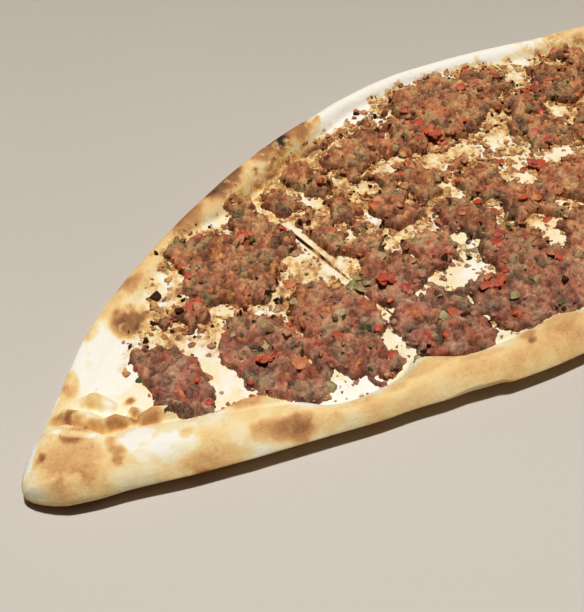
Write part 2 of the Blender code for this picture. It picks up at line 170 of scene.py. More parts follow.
def along(table, x, column=1):
    """A smooth curve through a table's points, read at every x."""
    points = np.array(table, float)
    xs, ys = points[:, 0], points[:, column]
    x = np.clip(np.asarray(x, float), xs[0], xs[-1])
    order = np.arange(len(xs))
    before, after = np.maximum(order - 1, 0), np.minimum(order + 1, len(xs) - 1)
    slopes = (ys[after] - ys[before]) / (xs[after] - xs[before])
    i = np.clip(np.searchsorted(xs, x) - 1, 0, len(xs) - 2)
    run = xs[i + 1] - xs[i]
    t = (x - xs[i]) / run
    rise = 3 * t ** 2 - 2 * t ** 3
    bend = run * (slopes[i] * t * (1 - t) ** 2 - slopes[i + 1] * t ** 2 * (1 - t))
    return ys[i] * (1 - rise) + ys[i + 1] * rise + bend


def higher(one, two, soft):
    """The higher of two levels, with the crease between them rounded off."""
    return (one + two + np.sqrt((one - two) ** 2 + soft ** 2)) / 2


@lru_cache(maxsize=None)
def lattice(seed, layers):
    """A fixed grid of random numbers from -1 to 1."""
    return np.random.default_rng(seed).uniform(-1, 1, (LATTICE, LATTICE, layers))


def cells_of(x, y, size):
    """The whole and the broken part of x and y in cells of a size."""
    u, v = np.asarray(x, float) / size, np.asarray(y, float) / size
    iu, iv = np.floor(u).astype(int), np.floor(v).astype(int)
    return iu, iv, u - iu, v - iv


def swell(x, y, strength, size, seed):
    """Smooth noise from -strength to strength whose hills are about size apart."""
    grid = lattice(seed, 1)[:, :, 0]
    iu, iv, fu, fv = cells_of(x, y, size)
    fu, fv = smooth_step(fu), smooth_step(fv)
    corner = [grid[(iu + a) % LATTICE, (iv + b) % LATTICE] for a in (0, 1) for b in (0, 1)]
    low = corner[0] * (1 - fv) + corner[1] * fv
    high = corner[2] * (1 - fv) + corner[3] * fv
    return strength * (low * (1 - fu) + high * fu)


def rough(x, y, strength, size, seed):
    """Noise with finer and finer detail."""
    total = np.zeros(np.broadcast(x, y).shape)
    for octave in range(OCTAVES):
        total += swell(x, y, 0.5 ** octave, size / 2 ** octave, seed + octave)
    return strength * (total / OCTAVE_SUM)


def grains(x, y, size, seed):
    """Distances to the nearest and next nearest of scattered points, and the nearest one's own number."""
    spots = lattice(seed, 3)
    iu, iv, fu, fv = cells_of(x, y, size)
    first, second, own = np.full(fu.shape, FAR_AWAY), np.full(fu.shape, FAR_AWAY), np.zeros(fu.shape)
    for a in (-1, 0, 1):
        for b in (-1, 0, 1):
            spot = spots[(iu + a) % LATTICE, (iv + b) % LATTICE]
            away = np.hypot(a + 0.5 + JITTER * spot[..., 0] - fu, b + 0.5 + JITTER * spot[..., 1] - fv)
            closer = away < first
            second = np.where(closer, first, np.minimum(second, away))
            own = np.where(closer, spot[..., 2], own)
            first = np.minimum(first, away)
    return first, second, own


# ---- the bread's shape


def edge_reach(x, far_side):
    """Distance from the X axis to the outline at x, on the +Y side or the -Y side."""
    x = np.asarray(x, float)
    from_tip = np.clip(HALF_LENGTH - np.abs(x), 0, None)
    full = (x < 0) == far_side
    reach = np.where(full, along(FULL_SIDE, from_tip), along(LEAN_SIDE, from_tip))
    short = 1 - np.minimum(from_tip, TIP_ROUNDING) / TIP_ROUNDING
    fade = smooth_step(from_tip / WAVER_START) * smooth_step((HALF_LENGTH - from_tip) / WAVER_REST)
    return reach * np.sqrt(1 - short ** 2) - np.abs(swell(x, 0 * x, *EDGE_WAVER[far_side]) * fade)


def raised(x, far_side):
    """How much higher than the far edge the near edge stands at x."""
    if far_side:
        return 0.0 * x
    return NEAR_RAISE * smooth_step((HALF_LENGTH - np.abs(x) - RAISE_START) / (RAISE_END - RAISE_START))


def inset(x, y, far_side):
    """Distance from a point to the outline on one side, measured square to the outline."""
    step = 2
    slope = (edge_reach(x + step, far_side) - edge_reach(x - step, far_side)) / (2 * step)
    across = edge_reach(x, far_side) - (y if far_side else -y)
    return across / np.sqrt(1 + slope ** 2)


def rim_width(x, far_side):
    """Width of the rolled rim at x, no more than the bread has."""
    most = np.maximum(NARROWEST_RIM, WIDEST_RIM * edge_reach(x, far_side))
    return np.clip(along(RIMS[far_side], x, 2), NARROWEST_RIM, most)


def rim_level(x, y, far_side):
    """Top of the rolled rim: a blunt outer side, a rounded crest, and a softer fall to the floor."""
    seed = RIM_SEEDS[far_side]
    lumps = swell(x, y, *RIM_HILLS, seed) + swell(x, y, *RIM_LUMPS, seed + 1)
    height = along(RIMS[far_side], x) + lumps
    width = rim_width(x, far_side) * (1 + swell(x, y, *RIM_WAIST, seed + 2))
    t = np.clip(inset(x, y, far_side), 0, None) / width
    climb = (1 - np.clip(1 - t / CREST, 0, 1) ** RIM_BLUNT) ** RIM_STEEP
    bulge = BULGE_HEIGHT + raised(x, far_side)
    outer = bulge + (height - bulge) * climb
    past = np.clip((t - CREST) / (1 - CREST), 0, 1)
    inner = FLOOR_TOP + (height - FLOOR_TOP) * (1 - past ** INNER_BLUNT) ** INNER_STEEP
    return np.where(t < CREST, outer, inner)


def beside(x, y, start, end):
    """Distance to a line from start to end, and how far along it the nearest place lies, from 0 to 1."""
    (x0, y0), (x1, y1) = start, end
    t = np.clip(((x - x0) * (x1 - x0) + (y - y0) * (y1 - y0)) / ((x1 - x0) ** 2 + (y1 - y0) ** 2), 0, 1)
    return np.hypot(x - x0 - t * (x1 - x0), y - y0 - t * (y1 - y0)), t


def chain_level(x, y, chain, power=PLEAT_POWER):
    """Top of a rounded ridge that follows a chain of (x, y, half width, height)."""
    level = np.full(np.shape(x), RIDGE_FOOT)
    for (*start, w0, h0), (*end, w1, h1) in zip(chain, chain[1:]):
        distance, t = beside(x, y, start, end)
        away = distance / (w0 + t * (w1 - w0))
        height = h0 + t * (h1 - h0)
        level = np.maximum(level, RIDGE_FOOT + (height - RIDGE_FOOT) * np.clip(1 - away ** 2, 0, 1) ** power)
    return level


def crevice_share(x, y, chain):
    """1 along the middle of a chain of (x, y, half width), falling to 0 at its half width."""
    line = [(px, py, half, RIDGE_FOOT + 1.0) for px, py, half in chain]
    return chain_level(x, y, line, 1.0) - RIDGE_FOOT


def side_of(x, y, line):
    """Signed distance to an open line, positive on its left when walked from start to end."""
    best, signed = np.full(np.shape(x), FAR_AWAY), np.zeros(np.shape(x))
    for start, end in zip(line, line[1:]):
        away, _ = beside(x, y, start, end)
        left = (end[0] - start[0]) * (y - start[1]) - (end[1] - start[1]) * (x - start[0])
        signed = np.where(away < best, np.copysign(away, left), signed)
        best = np.minimum(best, away)
    return signed


def tip_frame(x, y):
    """Coordinates as seen from the nearer tip, so both tips fold alike."""
    turn = np.where(np.asarray(x) < 0, 1.0, -1.0)
    return x * turn, y * turn


def flap_level(x, y):
    """Top of the folded-over tip, which ends in a rounded step along FLAP_EDGE."""
    u, v = tip_frame(x, y)
    cover = smooth_step(0.5 - side_of(u, v, FLAP_EDGE) / FLAP_FALL)
    cover = cover * smooth_step((FLAP_ENDS - u) / FLAP_FADE)
    near_edge = np.clip(np.minimum(inset(x, y, True), inset(x, y, False)), 0, None)
    short = 1 - np.minimum(1.0, near_edge / FLAP_ROUND)
    rise = FLAP_TOP + swell(x, y, *FLAP_SWELL) - BULGE_HEIGHT
    return FLAP_FOOT + (BULGE_HEIGHT + rise * np.sqrt(1 - short ** 2) - FLAP_FOOT) * cover


def slit_place(x, y):
    """Distance across the knife cut, and its half width there: a lens, with a hairline past it."""
    c, s = math.cos(SLIT_TURN), math.sin(SLIT_TURN)
    across = (x - SLIT_X) * c + (y - SLIT_Y) * s
    down = (y - SLIT_Y) * c - (x - SLIT_X) * s
    half = SLIT_WIDTH / 2 * np.sqrt(np.clip(1 - (2 * down / SLIT_LENGTH) ** 2, 0, 1))
    hairline = (y < SLIT_Y) & (y > HAIRLINE_END)
    return across, np.where(hairline, np.maximum(half, HAIRLINE_HALF), half)


def dough_top(x, y):
    """Height of the bread's upper surface."""
    x, y = np.asarray(x, float), np.asarray(y, float)
    floor = FLOOR_TOP + swell(x, y, *FLOOR_HILLS) + rough(x, y, *FLOOR_ROUGH) - FLOOR_DIP
    level = higher(rim_level(x, y, False), rim_level(x, y, True), JOIN)
    level = higher(level, flap_level(x, y), FOLD_JOIN)
    u, v = tip_frame(x, y)
    for chain in TIP_PLEATS:
        level = higher(level, chain_level(u, v, chain), FOLD_JOIN)
    for chain in LONE_PLEATS:
        level = higher(level, np.where(x < 0, chain_level(x, y, chain), 0.0), FOLD_JOIN)
    level = higher(level, floor, JOIN)
    for chain in CREVICES:
        level = level - CREVICE_DEPTH * crevice_share(x, y, chain)
    short = 1 - np.clip((HALF_LENGTH - np.abs(x)) / NOSE, 0, 1)
    return np.where(short > 0, BULGE_HEIGHT + (level - BULGE_HEIGHT) * np.sqrt(1 - short ** 2), level)


def cut_top(x, y):
    """The upper surface with the knife cut in it."""
    level = dough_top(x, y)
    across, half = slit_place(x, y)
    lip = LIP_RISE * np.exp(-((across - half - LIP_REACH / 2) / LIP_REACH * LIP_FALL) ** 2)
    (start, climb), (end, fall) = LIP_START, LIP_END
    level = level + lip * (smooth_step((y - start) / climb) * smooth_step((end - y) / fall))
    inside = smooth_step((half + SLIT_EDGE - np.abs(across)) / (2 * SLIT_EDGE))
    deep = np.where(half > DEEP_FROM, SLIT_FLOOR, level - HAIRLINE_DEPTH)
    return level + (deep - level) * inside * (half > 0)


def dough_under(x, y):
    """Height of the underside, flat but for its rise towards the edge."""
    reach = np.minimum(LIFT_REACH, LIFT_SHARE * (edge_reach(x, True) + edge_reach(x, False)) + LIFT_LEAST)
    level = np.zeros(np.shape(x))
    for far_side in (True, False):
        away = 1 - np.clip(inset(x, y, far_side) / reach, 0, 1)
        level = np.maximum(level, (EDGE_LIFT + raised(x, far_side)) * away ** 2)
    return level


# ---- writing meshes


def to_mesh(name, points, faces, material, values):
    """Make a piece from points in millimetres, with one named number per point for each of values."""
    mesh = bpy.data.meshes.new(name)
    mesh.from_pydata((np.asarray(points) * MM).tolist(), [], faces)
    mesh.shade_smooth()
    for key, numbers in values.items():
        layer = mesh.attributes.new(key, "FLOAT", "POINT")
        layer.data.foreach_set("value", np.asarray(numbers, np.float32))
    mesh.materials.append(material)
    mesh.update()
    piece = bpy.data.objects.new(name, mesh)
    bpy.context.scene.collection.objects.link(piece)
    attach(piece, "root")
    return piece


# ---- the bread's colours as numbers

# Toasted spots: x, y, half length, half width, turn in degrees, how toasted (0 floury, 1 dark)
TOAST_SPOTS = (
    (-213, 0, 13, 14, 0, 0.39), (-206, 5, 6, 3.6, -30, 0.40), (-219, 4, 3, 2, 30, 0.44),
    (-221, -10, 7, 4, -40, 0.24), (-197, -9, 3.4, 6, -10, 0.44), (-200, -14, 2.4, 3, 0, 0.42),
    (-205, 16, 4.4, 5.0, 40, 0.56), (-201, 12, 4.4, 6.0, 32, 0.56), (-197, 6.5, 3.2, 4.4, 30, 0.46),
    (-190.5, 1.2, 6, 3.2, -36, 0.66), (-180, -4.2, 7, 3.4, -14, 0.62), (-169, -8, 5, 2.6, -35, 0.30),
    (-182, 2.4, 2.5, 2, 0, 0.60), (-190.5, 17, 4.6, 4.2, 0, 0.36), (-180, 9, 3.2, 2.4, 0, 0.80),
    (-193, 29, 4, 7, -30, 0.46), (-183, 31, 3, 5, -30, 0.34), (-174, 44, 5, 3.6, 30, 0.30),
    (-160, 39, 10, 8, 20, 0.90), (-157, 34, 5, 4, 0, 0.30), (-149, 55, 9, 5, 20, 0.40),
    (-141, 49, 5, 6, 0, 0.28), (-175, -20, 3.2, 2.6, 0, 0.34), (-179, -35, 5, 4, -15, 0.36),
    (-172, -34, 13, 6, -22, 0.34), (-147, -39, 14, 5, -26, 0.48), (-136, -46, 8, 4, -25, 0.20),
    (-148, -22, 9, 3.4, -22, 0.44), (-120, -46, 9, 3, -22, 0.16), (-88, -53, 12, 4, -10, 0.22),
    (-50, -70, 2.2, 1.6, 0, 0.60), (-47, -66, 5, 3, 0, 0.44), (-35, -70, 12, 6, 0, 0.20),
    (-68, -62, 10, 3, -15, 0.20), (-104, -52, 5, 3, -22, 0.24), (-110, 67, 14, 6, 22, 0.44),
    (-84, 75, 16, 6, 18, 0.60), (-60, 79, 14, 7, 8, 0.56), (-40, 81, 14, 6, 6, 0.56),
    (-22, 82, 8, 4, 0, 0.30), (72, 66, 8, 4, -14, 0.14), (88, 62, 12, 5, -20, 0.16),
)
SPOT_STRENGTH = 0.74
SPOT_EDGE, SPOT_SHARPNESS = 1.15, 1.5
SPOT_WARP, SPOT_RAGGED = (0.45, 9, 90), (0.25, 2.6, 96)
# Floury stretches: x, y, half length, half width, turn, how pale
PALE_SPOTS = (
    (-182, -20, 16, 6, -28, 0.17), (-176, 30, 18, 16, 30, 0.35), (-221, 9, 12, 2.4, 48, 0.60),
    (-207, 24, 12, 2.6, 42, 0.55), (-190, -10, 8, 4, -20, 0.35), (26, 80, 56, 15, -4, 1.3),
    (70, 70, 36, 6, -20, 0.45), (-138, 44, 10, 10, 0, 0.25), (-206, 5.5, 9, 1.5, -48, 0.40),
    (-118, -40, 22, 7, -20, 0.22), (-60, -61, 14, 5, -12, 0.05),
)
# The floor's toast, and what each rim adds to it
FLOOR_TOAST, FLOOR_TOAST_NOISE = 0.085, (0.09, 9, 91)
NEAR_TOAST, NEAR_TOAST_NOISE = 0.20, (0.22, 18, 92)
FAR_TOAST, FAR_TOAST_NOISE = 0.26, (0.10, 14, 93)
NEAR_PALE, NEAR_PALE_REACH = 0.13, 9  # the near rim is paler low on its outer side: partly flour, partly painted light on a face the lamps leave in shade
FAR_PALE_X, FAR_PALE_RUN, FAR_PALE_SHARE = -178, 30, 0.3  # the far rim is paler beside the -X tip
RIM_SPREAD = 1.12
# Painted shade, given as toast: near black in the crevices under the far roll, and across the knife cut and
# a little beyond its sides
CREVICE_PAINTED_SHADE, CUT_PAINTED_SHADE, CUT_SHADE_REACH = 0.85, 1.0, 0.3
# The underside's dark brown: partly a baked base, partly painted shade where it shows under the lifted edge
UNDER_TOAST_AND_SHADE, UNDER_TOAST_NOISE = 0.66, (0.14, 14, 97)
# Evenly scattered spots of the same kind on the rims of the other half
HIDDEN_SPOTS, HIDDEN_SEED, HIDDEN_TURN = 26, 12, 25
HIDDEN_X, HIDDEN_FAR_X = (10, 222), 110
HIDDEN_INSET, HIDDEN_LONG, HIDDEN_WIDE, HIDDEN_TOAST = (4, 16), (4, 12), (3, 7), (0.15, 0.45)
# Oily, golden places on the floor: x, y, radius
OIL_SPOTS = (
    (-150, 24, 12), (-140, 40, 10), (-128, 50, 9), (-100, 12, 12), (-88, 14, 9), (-92, 22, 8),
    (-136, 16, 8), (-72, 62, 16), (-48, 66, 14), (-60, 30, 14), (-45, 10, 16), (-28, 44, 12),
    (-18, 14, 14), (-8, 28, 16), (4, 32, 12), (-24, 66, 12), (10, 4, 12), (12, 26, 12), (40, 30, 14),
    (60, 22, 12), (70, 48, 14), (66, 60, 10), (92, 46, 12), (104, 50, 10), (-6, -14, 8), (4, -22, 8),
    (-46, -14, 8), (-74, 6, 8), (70, 8, 10), (96, 28, 12), (62, -2, 8), (128, 28, 10), (100, -10, 12),
)
OIL_EDGE, OIL_WARP, OIL_SHARE = 1.2, (0.5, 5, 95), 0.80
BESIDE_REACH, BESIDE_FADE = 1.3, 0.9  # in units of the mince's cover
BESIDE_BASE, BESIDE_NOISE = 0.75, (0.9, 6, 98)
BESIDE_OIL, BESIDE_ROASTED_OIL = 0.22, 0.66


def spot_warp(x, y):
    """How far a spot's edge wanders at each place, as a share of its size."""
    return rough(x, y, *SPOT_WARP) + rough(x, y, *SPOT_RAGGED)


def spot_share(x, y, spot, warp):
    """How much a spot covers each place: 1 at its middle, 0 outside, with a wandering edge."""
    cx, cy, a, b, turn = spot[:5]
    c, s = math.cos(math.radians(turn)), math.sin(math.radians(turn))
    u = ((x - cx) * c + (y - cy) * s) / a
    v = ((y - cy) * c - (x - cx) * s) / b
    return smooth_step((SPOT_EDGE - np.hypot(u, v) + warp) * SPOT_SHARPNESS)


def hidden_spots():
    """Toasted spots scattered over the rims of the +X half."""
    rng = np.random.default_rng(HIDDEN_SEED)
    for _ in range(HIDDEN_SPOTS):
        x = rng.uniform(*HIDDEN_X)
        far = bool(rng.random() < 0.5)
        y = max(0.0, float(edge_reach(x, far)) - rng.uniform(*HIDDEN_INSET))
        long, wide, toast = rng.uniform(*HIDDEN_LONG), rng.uniform(*HIDDEN_WIDE), rng.uniform(*HIDDEN_TOAST)
        if not far or x > HIDDEN_FAR_X:
            yield (x, y if far else -y, long, wide, -HIDDEN_TURN if far else HIDDEN_TURN, toast)


def toast_and_shade_of(x, y):
    """How toasted the bread is at each place, from 0 floury to 1 dark brown, with painted shade darkening
    the crevices under the far roll.
    """
    warp = spot_warp(x, y)
    near, far = inset(x, y, False), inset(x, y, True)
    near_rim = smooth_step(RIM_SPREAD - near / rim_width(x, False))
    far_rim = smooth_step(RIM_SPREAD - far / rim_width(x, True))
    toast = FLOOR_TOAST + rough(x, y, *FLOOR_TOAST_NOISE)
    toast = toast + near_rim * (NEAR_TOAST + rough(x, y, *NEAR_TOAST_NOISE))
    # painted light, partly flour: paler low on the near rim's outer side
    toast = toast - NEAR_PALE * near_rim * smooth_step(1 - near / NEAR_PALE_REACH)
    browned = FAR_PALE_SHARE + (1 - FAR_PALE_SHARE) * smooth_step((x - FAR_PALE_X) / FAR_PALE_RUN)
    toast = toast + far_rim * (FAR_TOAST + rough(x, y, *FAR_TOAST_NOISE)) * browned
    for spot in TOAST_SPOTS:
        toast = toast + SPOT_STRENGTH * spot[5] * spot_share(x, y, spot, warp)
    for spot in PALE_SPOTS:
        toast = toast - spot[5] * spot_share(x, y, spot, warp)
    for spot in hidden_spots():
        toast = toast + spot[5] * spot_share(x, y, spot, warp)
    # painted shade along the crevices
    for chain in CREVICES:
        toast = toast + CREVICE_PAINTED_SHADE * crevice_share(x, y, chain)
    return toast


def oil_of(x, y, cover):
    """How oily and golden the floor is at each place, most of all beside the mince."""
    oil = np.zeros(np.shape(x))
    warp = rough(x, y, *OIL_WARP)
    for cx, cy, radius in OIL_SPOTS:
        oil = np.maximum(oil, smooth_step(OIL_EDGE - np.hypot(x - cx, y - cy) / radius + warp))
    near = smooth_step((cover + BESIDE_REACH) / BESIDE_FADE)
    near = near * smooth_step(BESIDE_BASE + rough(x, y, *BESIDE_NOISE))
    return np.maximum(OIL_SHARE * oil, (BESIDE_OIL + BESIDE_ROASTED_OIL * roast_of(x, y)) * near)


# ---- materials


class Nodes:
    """Short ways to add and link a tree's nodes. Noise is given as hills per metre, detail, roughness."""

    def __init__(self, tree, coordinates="Object"):
        self.tree = tree
        self.place = tree.nodes.new("ShaderNodeTexCoord").outputs[coordinates]

    def put(self, value, socket):
        """Link a socket to an input, or set the input to a number or a colour."""
        if isinstance(value, bpy.types.NodeSocket):
            self.tree.links.new(value, socket)
        else:
            socket.default_value = (*value, 1.0) if isinstance(value, tuple) else value

    def add(self, kind, inputs, **settings):
        """A node with its settings, and its inputs given as a dictionary by number or name."""
        node = self.tree.nodes.new(kind)
        for key, value in settings.items():
            setattr(node, key, value)
        for key, value in inputs.items():
            self.put(value, node.inputs[key])
        return node.outputs

    def noise(self, scale, detail, roughness):
        """Noise from 0 to 1."""
        inputs = {"Vector": self.place, "Scale": scale, "Detail": detail, "Roughness": roughness}
        return self.add("ShaderNodeTexNoise", inputs)["Fac"]

    def reading(self, key):
        """A number kept at the mesh's points."""
        return self.add("ShaderNodeAttribute", {}, attribute_name=key)["Fac"]

    def sum(self, one, two, times=1.0, offset=0.0):
        """one + times * two + offset"""
        scaled = self.add("ShaderNodeMath", {0: two, 1: times, 2: offset}, operation="MULTIPLY_ADD")[0]
        return self.add("ShaderNodeMath", {0: one, 1: scaled}, operation="ADD")[0]

    def product(self, one, two):
        """one * two"""
        return self.add("ShaderNodeMath", {0: one, 1: two}, operation="MULTIPLY")[0]

    def stretch(self, value, low, high, to_low=0.0, to_high=1.0):
        """The value, moved from one range to another and held inside it."""
        return self.add("ShaderNodeMapRange", {0: value, 1: low, 2: high, 3: to_low, 4: to_high})[0]

    def blend(self, share, one, two, kind="MIX"):
        """Two colours mixed by a share."""
        return self.add("ShaderNodeMix", {0: share, 6: one, 7: two}, data_type="RGBA", blend_type=kind)[2]

    def ramp(self, value, stops):
        """Colours along a value: stops are (place, (r, g, b))."""
        node = self.tree.nodes.new("ShaderNodeValToRGB")
        ramp = node.color_ramp
        while len(ramp.elements) < len(stops):
            ramp.elements.new(0.5)
        for element, (place, colour) in zip(ramp.elements, stops):
            element.position = place
            element.color = (*colour, 1.0)
        self.put(value, node.inputs[0])
        return node.outputs["Color"]

    def bumps(self, heights):
        """A chain of bumps: heights are (value, distance in metres, strength)."""
        chain = {}
        for value, distance, strength in heights:
            inputs = {"Height": value, "Distance": distance, "Strength": strength, **chain}
            chain = {"Normal": self.add("ShaderNodeBump", inputs)["Normal"]}
        return chain["Normal"]


def new_material(name):
    """A node material, its Nodes, and a function that fills in its Principled shader."""
    material = bpy.data.materials.new(name)
    material.use_nodes = True
    nodes = Nodes(material.node_tree)
    shader = material.node_tree.nodes["Principled BSDF"]

    def finish(colour, roughness, normal=None, constants=()):
        """Link or set the shader's colour, roughness and normal, and set its constants."""
        nodes.put(colour, shader.inputs["Base Color"])
        nodes.put(roughness, shader.inputs["Roughness"])
        if normal:
            nodes.put(normal, shader.inputs["Normal"])
        for key, value in constants:
            shader.inputs[key].default_value = value
        return material
    return nodes, finish


CRUST_STOPS = (
    (0.00, (0.90, 0.855, 0.75)), (0.10, (0.87, 0.75, 0.47)), (0.23, (0.85, 0.61, 0.27)),
    (0.36, (0.77, 0.47, 0.19)), (0.50, (0.60, 0.315, 0.115)), (0.64, (0.42, 0.185, 0.062)),
    (0.82, (0.20, 0.08, 0.028)), (1.00, (0.024, 0.010, 0.005)),
)
GOLD_STOPS = (
    (0.34, (0.90, 0.79, 0.52)), (0.44, (0.84, 0.62, 0.27)), (0.52, (0.70, 0.40, 0.12)),
    (0.60, (0.44, 0.18, 0.048)), (0.68, (0.20, 0.07, 0.02)),
)
CRUST_BROAD, CRUST_FINE, CRUST_SPECKLE = (110, 4, 0.6), (620, 3, 0.6), (760, 2, 0.6)
BROAD_SHARE, FINE_SHARE, SPECKLE_SHARE = 0.13, 0.07, 0.11
MOTTLE_RANGE = (0.30, 0.70, -0.5, 0.5)  # noise between the first two becomes the last two
SPECKLE_RANGE, SPECKLED_TOAST = (0.60, 0.72), (0.12, 0.35)
MOTTLED_TOAST = (0.02, 0.35, 0.65, 1.0)  # floury dough is less mottled
OIL_NOISE, OIL_NOISE_TIMES, OIL_NOISE_OFFSET = (230, 4, 0.65), 1.8, -0.9
OIL_RANGE = (0.26, 0.66, 0.0, 0.94)
GOLD_NOISE = (250, 5, 0.7)
CRUST_GLOSS = (0.0, 1.0, 0.78, 0.42)  # roughness, dry and oily
# Bumps: noise, distance in metres, strength
CRUST_BUMPS = (((330, 5, 0.6), 0.0009, 0.55), ((1500, 2, 0.5), 0.00025, 0.5))
CRUST_PITS = (0.0004, -0.5)
CRUST_SHADER = (("Specular IOR Level", 0.35), ("Subsurface Weight", 0.12), ("Subsurface Scale", 0.003),
                ("Subsurface Radius", (1.0, 0.6, 0.3)))


def crust_material():
    """Baked dough: floury white through tan to brown, with speckles, pores and oily golden places."""
    nodes, finish = new_material("baked_dough")
    toast = nodes.reading("toast")
    broad = nodes.stretch(nodes.noise(*CRUST_BROAD), *MOTTLE_RANGE)
    fine = nodes.stretch(nodes.noise(*CRUST_FINE), *MOTTLE_RANGE)
    strength = nodes.stretch(toast, *MOTTLED_TOAST)
    mottled = nodes.sum(toast, nodes.product(broad, strength), BROAD_SHARE)
    mottled = nodes.sum(mottled, nodes.product(fine, strength), FINE_SHARE)
    speckle = nodes.product(nodes.stretch(nodes.noise(*CRUST_SPECKLE), *SPECKLE_RANGE),
                            nodes.stretch(toast, *SPECKLED_TOAST))
    dry = nodes.ramp(nodes.sum(mottled, speckle, SPECKLE_SHARE), CRUST_STOPS)
    wet = nodes.sum(nodes.reading("oil"), nodes.noise(*OIL_NOISE), OIL_NOISE_TIMES, OIL_NOISE_OFFSET)
    oil_share = nodes.stretch(wet, *OIL_RANGE)
    golden = nodes.ramp(nodes.noise(*GOLD_NOISE), GOLD_STOPS)
    heights = [(nodes.noise(*noise), *height) for noise, *height in CRUST_BUMPS]
    return finish(nodes.blend(oil_share, dry, golden), nodes.stretch(oil_share, *CRUST_GLOSS),
                  nodes.bumps(heights + [(speckle, *CRUST_PITS)]), CRUST_SHADER)


FRESH_STOPS = (
    (0.29, (0.37, 0.25, 0.12)), (0.39, (0.44, 0.25, 0.145)), (0.48, (0.45, 0.195, 0.115)),
    (0.57, (0.38, 0.125, 0.072)), (0.66, (0.40, 0.10, 0.044)), (0.75, (0.50, 0.21, 0.06)),
)
ROASTED_STOPS = (
    (0.30, (0.46, 0.32, 0.12)), (0.42, (0.56, 0.28, 0.11)), (0.52, (0.52, 0.205, 0.082)),
    (0.62, (0.36, 0.105, 0.038)), (0.72, (0.64, 0.31, 0.09)),
)
MINCE_PATCHES, MINCE_TONE = (105, 3, 0.6), 0.06
# Painted shade: a dark red-brown mixed in where the relief is low, in the creases between lumps
CREASE_SHADE_COLOUR, CREASE_SHADE_RANGE = (0.17, 0.055, 0.024), (0.06, 0.50, 0.80, 0.0)
MINCE_GRAIN = (620, 3, 0.65)
# Painted shade and highlight: the relief multiplies the colour darker in creases and lighter on the lumps;
# the grain's part is random tone
RELIEF_LIGHT, GRAIN_LIGHT = (0.10, 0.85, 0.50, 1.14), (0.32, 0.68, -0.34, 0.30)
# Lighter and darker places: noise, times, offset
MINCE_MOTTLES = (((300, 3, 0.6), 1.1, -0.58), ((62, 2, 0.5), 0.9, -0.45))
TONE_LIGHT = 0.10
SPECK_NOISE, SPECK_RANGE, SPECK_COLOUR = (520, 3, 0.6), (0.60, 0.68, 0.0, 0.85), (0.07, 0.03, 0.02)
CRISP_NOISE, CRISP_RANGE, CRISP_COLOUR = (330, 2, 0.5), (0.38, 0.62, 0.1, 0.95), (0.10, 0.035, 0.016)
MINCE_GLOSS = (0.3, 0.7, 0.40, 0.66)
MINCE_BUMPS = (((520, 4, 0.62), 0.0010, 0.8), ((1700, 2, 0.6), 0.0003, 0.6))
MINCE_SHADER = (("Specular IOR Level", 0.28), ("Subsurface Weight", 0.08), ("Subsurface Scale", 0.002))


def mince_material():
    """Cooked mince: mauve near one end, more roasted towards the other, grey, red and herby in places, with
    painted shade in its creases and painted highlights on its lumps.
    """
    nodes, finish = new_material("minced_meat")
    tone, relief, grain = nodes.reading("tone"), nodes.reading("relief"), nodes.noise(*MINCE_GRAIN)
    patchy = nodes.sum(nodes.noise(*MINCE_PATCHES), tone, MINCE_TONE)
    fresh, roasted = nodes.ramp(patchy, FRESH_STOPS), nodes.ramp(patchy, ROASTED_STOPS)
    colour = nodes.blend(nodes.reading("roast"), fresh, roasted)
    # painted shade in the creases
    colour = nodes.blend(nodes.stretch(relief, *CREASE_SHADE_RANGE), colour, CREASE_SHADE_COLOUR)
    # painted shade and highlight from the relief, with random grain, mottles and lump tone added
    light = nodes.sum(nodes.stretch(relief, *RELIEF_LIGHT), nodes.stretch(grain, *GRAIN_LIGHT))
    for noise, times, offset in MINCE_MOTTLES:
        light = nodes.sum(light, nodes.noise(*noise), times, offset)
    light = nodes.sum(light, tone, TONE_LIGHT)
    grey = nodes.add("ShaderNodeCombineXYZ", {0: light, 1: light, 2: light})[0]
    colour = nodes.blend(1.0, colour, grey, "MULTIPLY")
    colour = nodes.blend(nodes.stretch(nodes.noise(*SPECK_NOISE), *SPECK_RANGE), colour, SPECK_COLOUR)
    crisp = nodes.product(nodes.reading("crisp"), nodes.stretch(nodes.noise(*CRISP_NOISE), *CRISP_RANGE))
    heights = [(nodes.noise(*noise), *height) for noise, *height in MINCE_BUMPS]
    return finish(nodes.blend(crisp, colour, CRISP_COLOUR), nodes.stretch(grain, *MINCE_GLOSS),
                  nodes.bumps(heights), MINCE_SHADER)


VEGETABLE_TONE = (-1.0, 1.0, 0.15, 0.85)
VEGETABLE_NOISE, VEGETABLE_TIMES, VEGETABLE_OFFSET = (240, 3, 0.6), 1.1, -0.55
BLOTCH_NOISE, BLOTCH_RANGE = (380, 4, 0.65), (0.48, 0.62, 0.0)
VEGETABLE_BUMP = ((480, 4, 0.6), 0.0006, 0.6)
VEGETABLE_SHADER = (("Subsurface Weight", 0.10), ("Subsurface Scale", 0.002))


def vegetable_material(name, stops, roughness, blotch_colour, blotched=0.45, shine=0.3):
    """A moist cooked piece: its own range of colours, darker and browner in blotches."""
    nodes, finish = new_material(name)
    wander = nodes.sum(nodes.stretch(nodes.reading("tone"), *VEGETABLE_TONE), nodes.noise(*VEGETABLE_NOISE),
                       VEGETABLE_TIMES, VEGETABLE_OFFSET)
    blotch = nodes.stretch(nodes.noise(*BLOTCH_NOISE), *BLOTCH_RANGE, blotched)
    noise, distance, strength = VEGETABLE_BUMP
    return finish(nodes.blend(blotch, nodes.ramp(wander, stops), blotch_colour), roughness,
                  nodes.bumps([(nodes.noise(*noise), distance, strength)]),
                  (*VEGETABLE_SHADER, ("Specular IOR Level", shine)))


# ---- the bread's mesh

ROUND_STATIONS = 5  # cross-sections in a tip's rounded end
STEP_AT_CUT, STEP_AT_TIP, STEP = 0.28, 0.8, 1.35  # X between cross-sections
CUT_REACH, TIP_REACH, STEP_END = 4.5, 70, 0.6
TOP_COLUMNS, EDGE_COLUMNS, UNDER_COLUMNS = 150, 9, 14


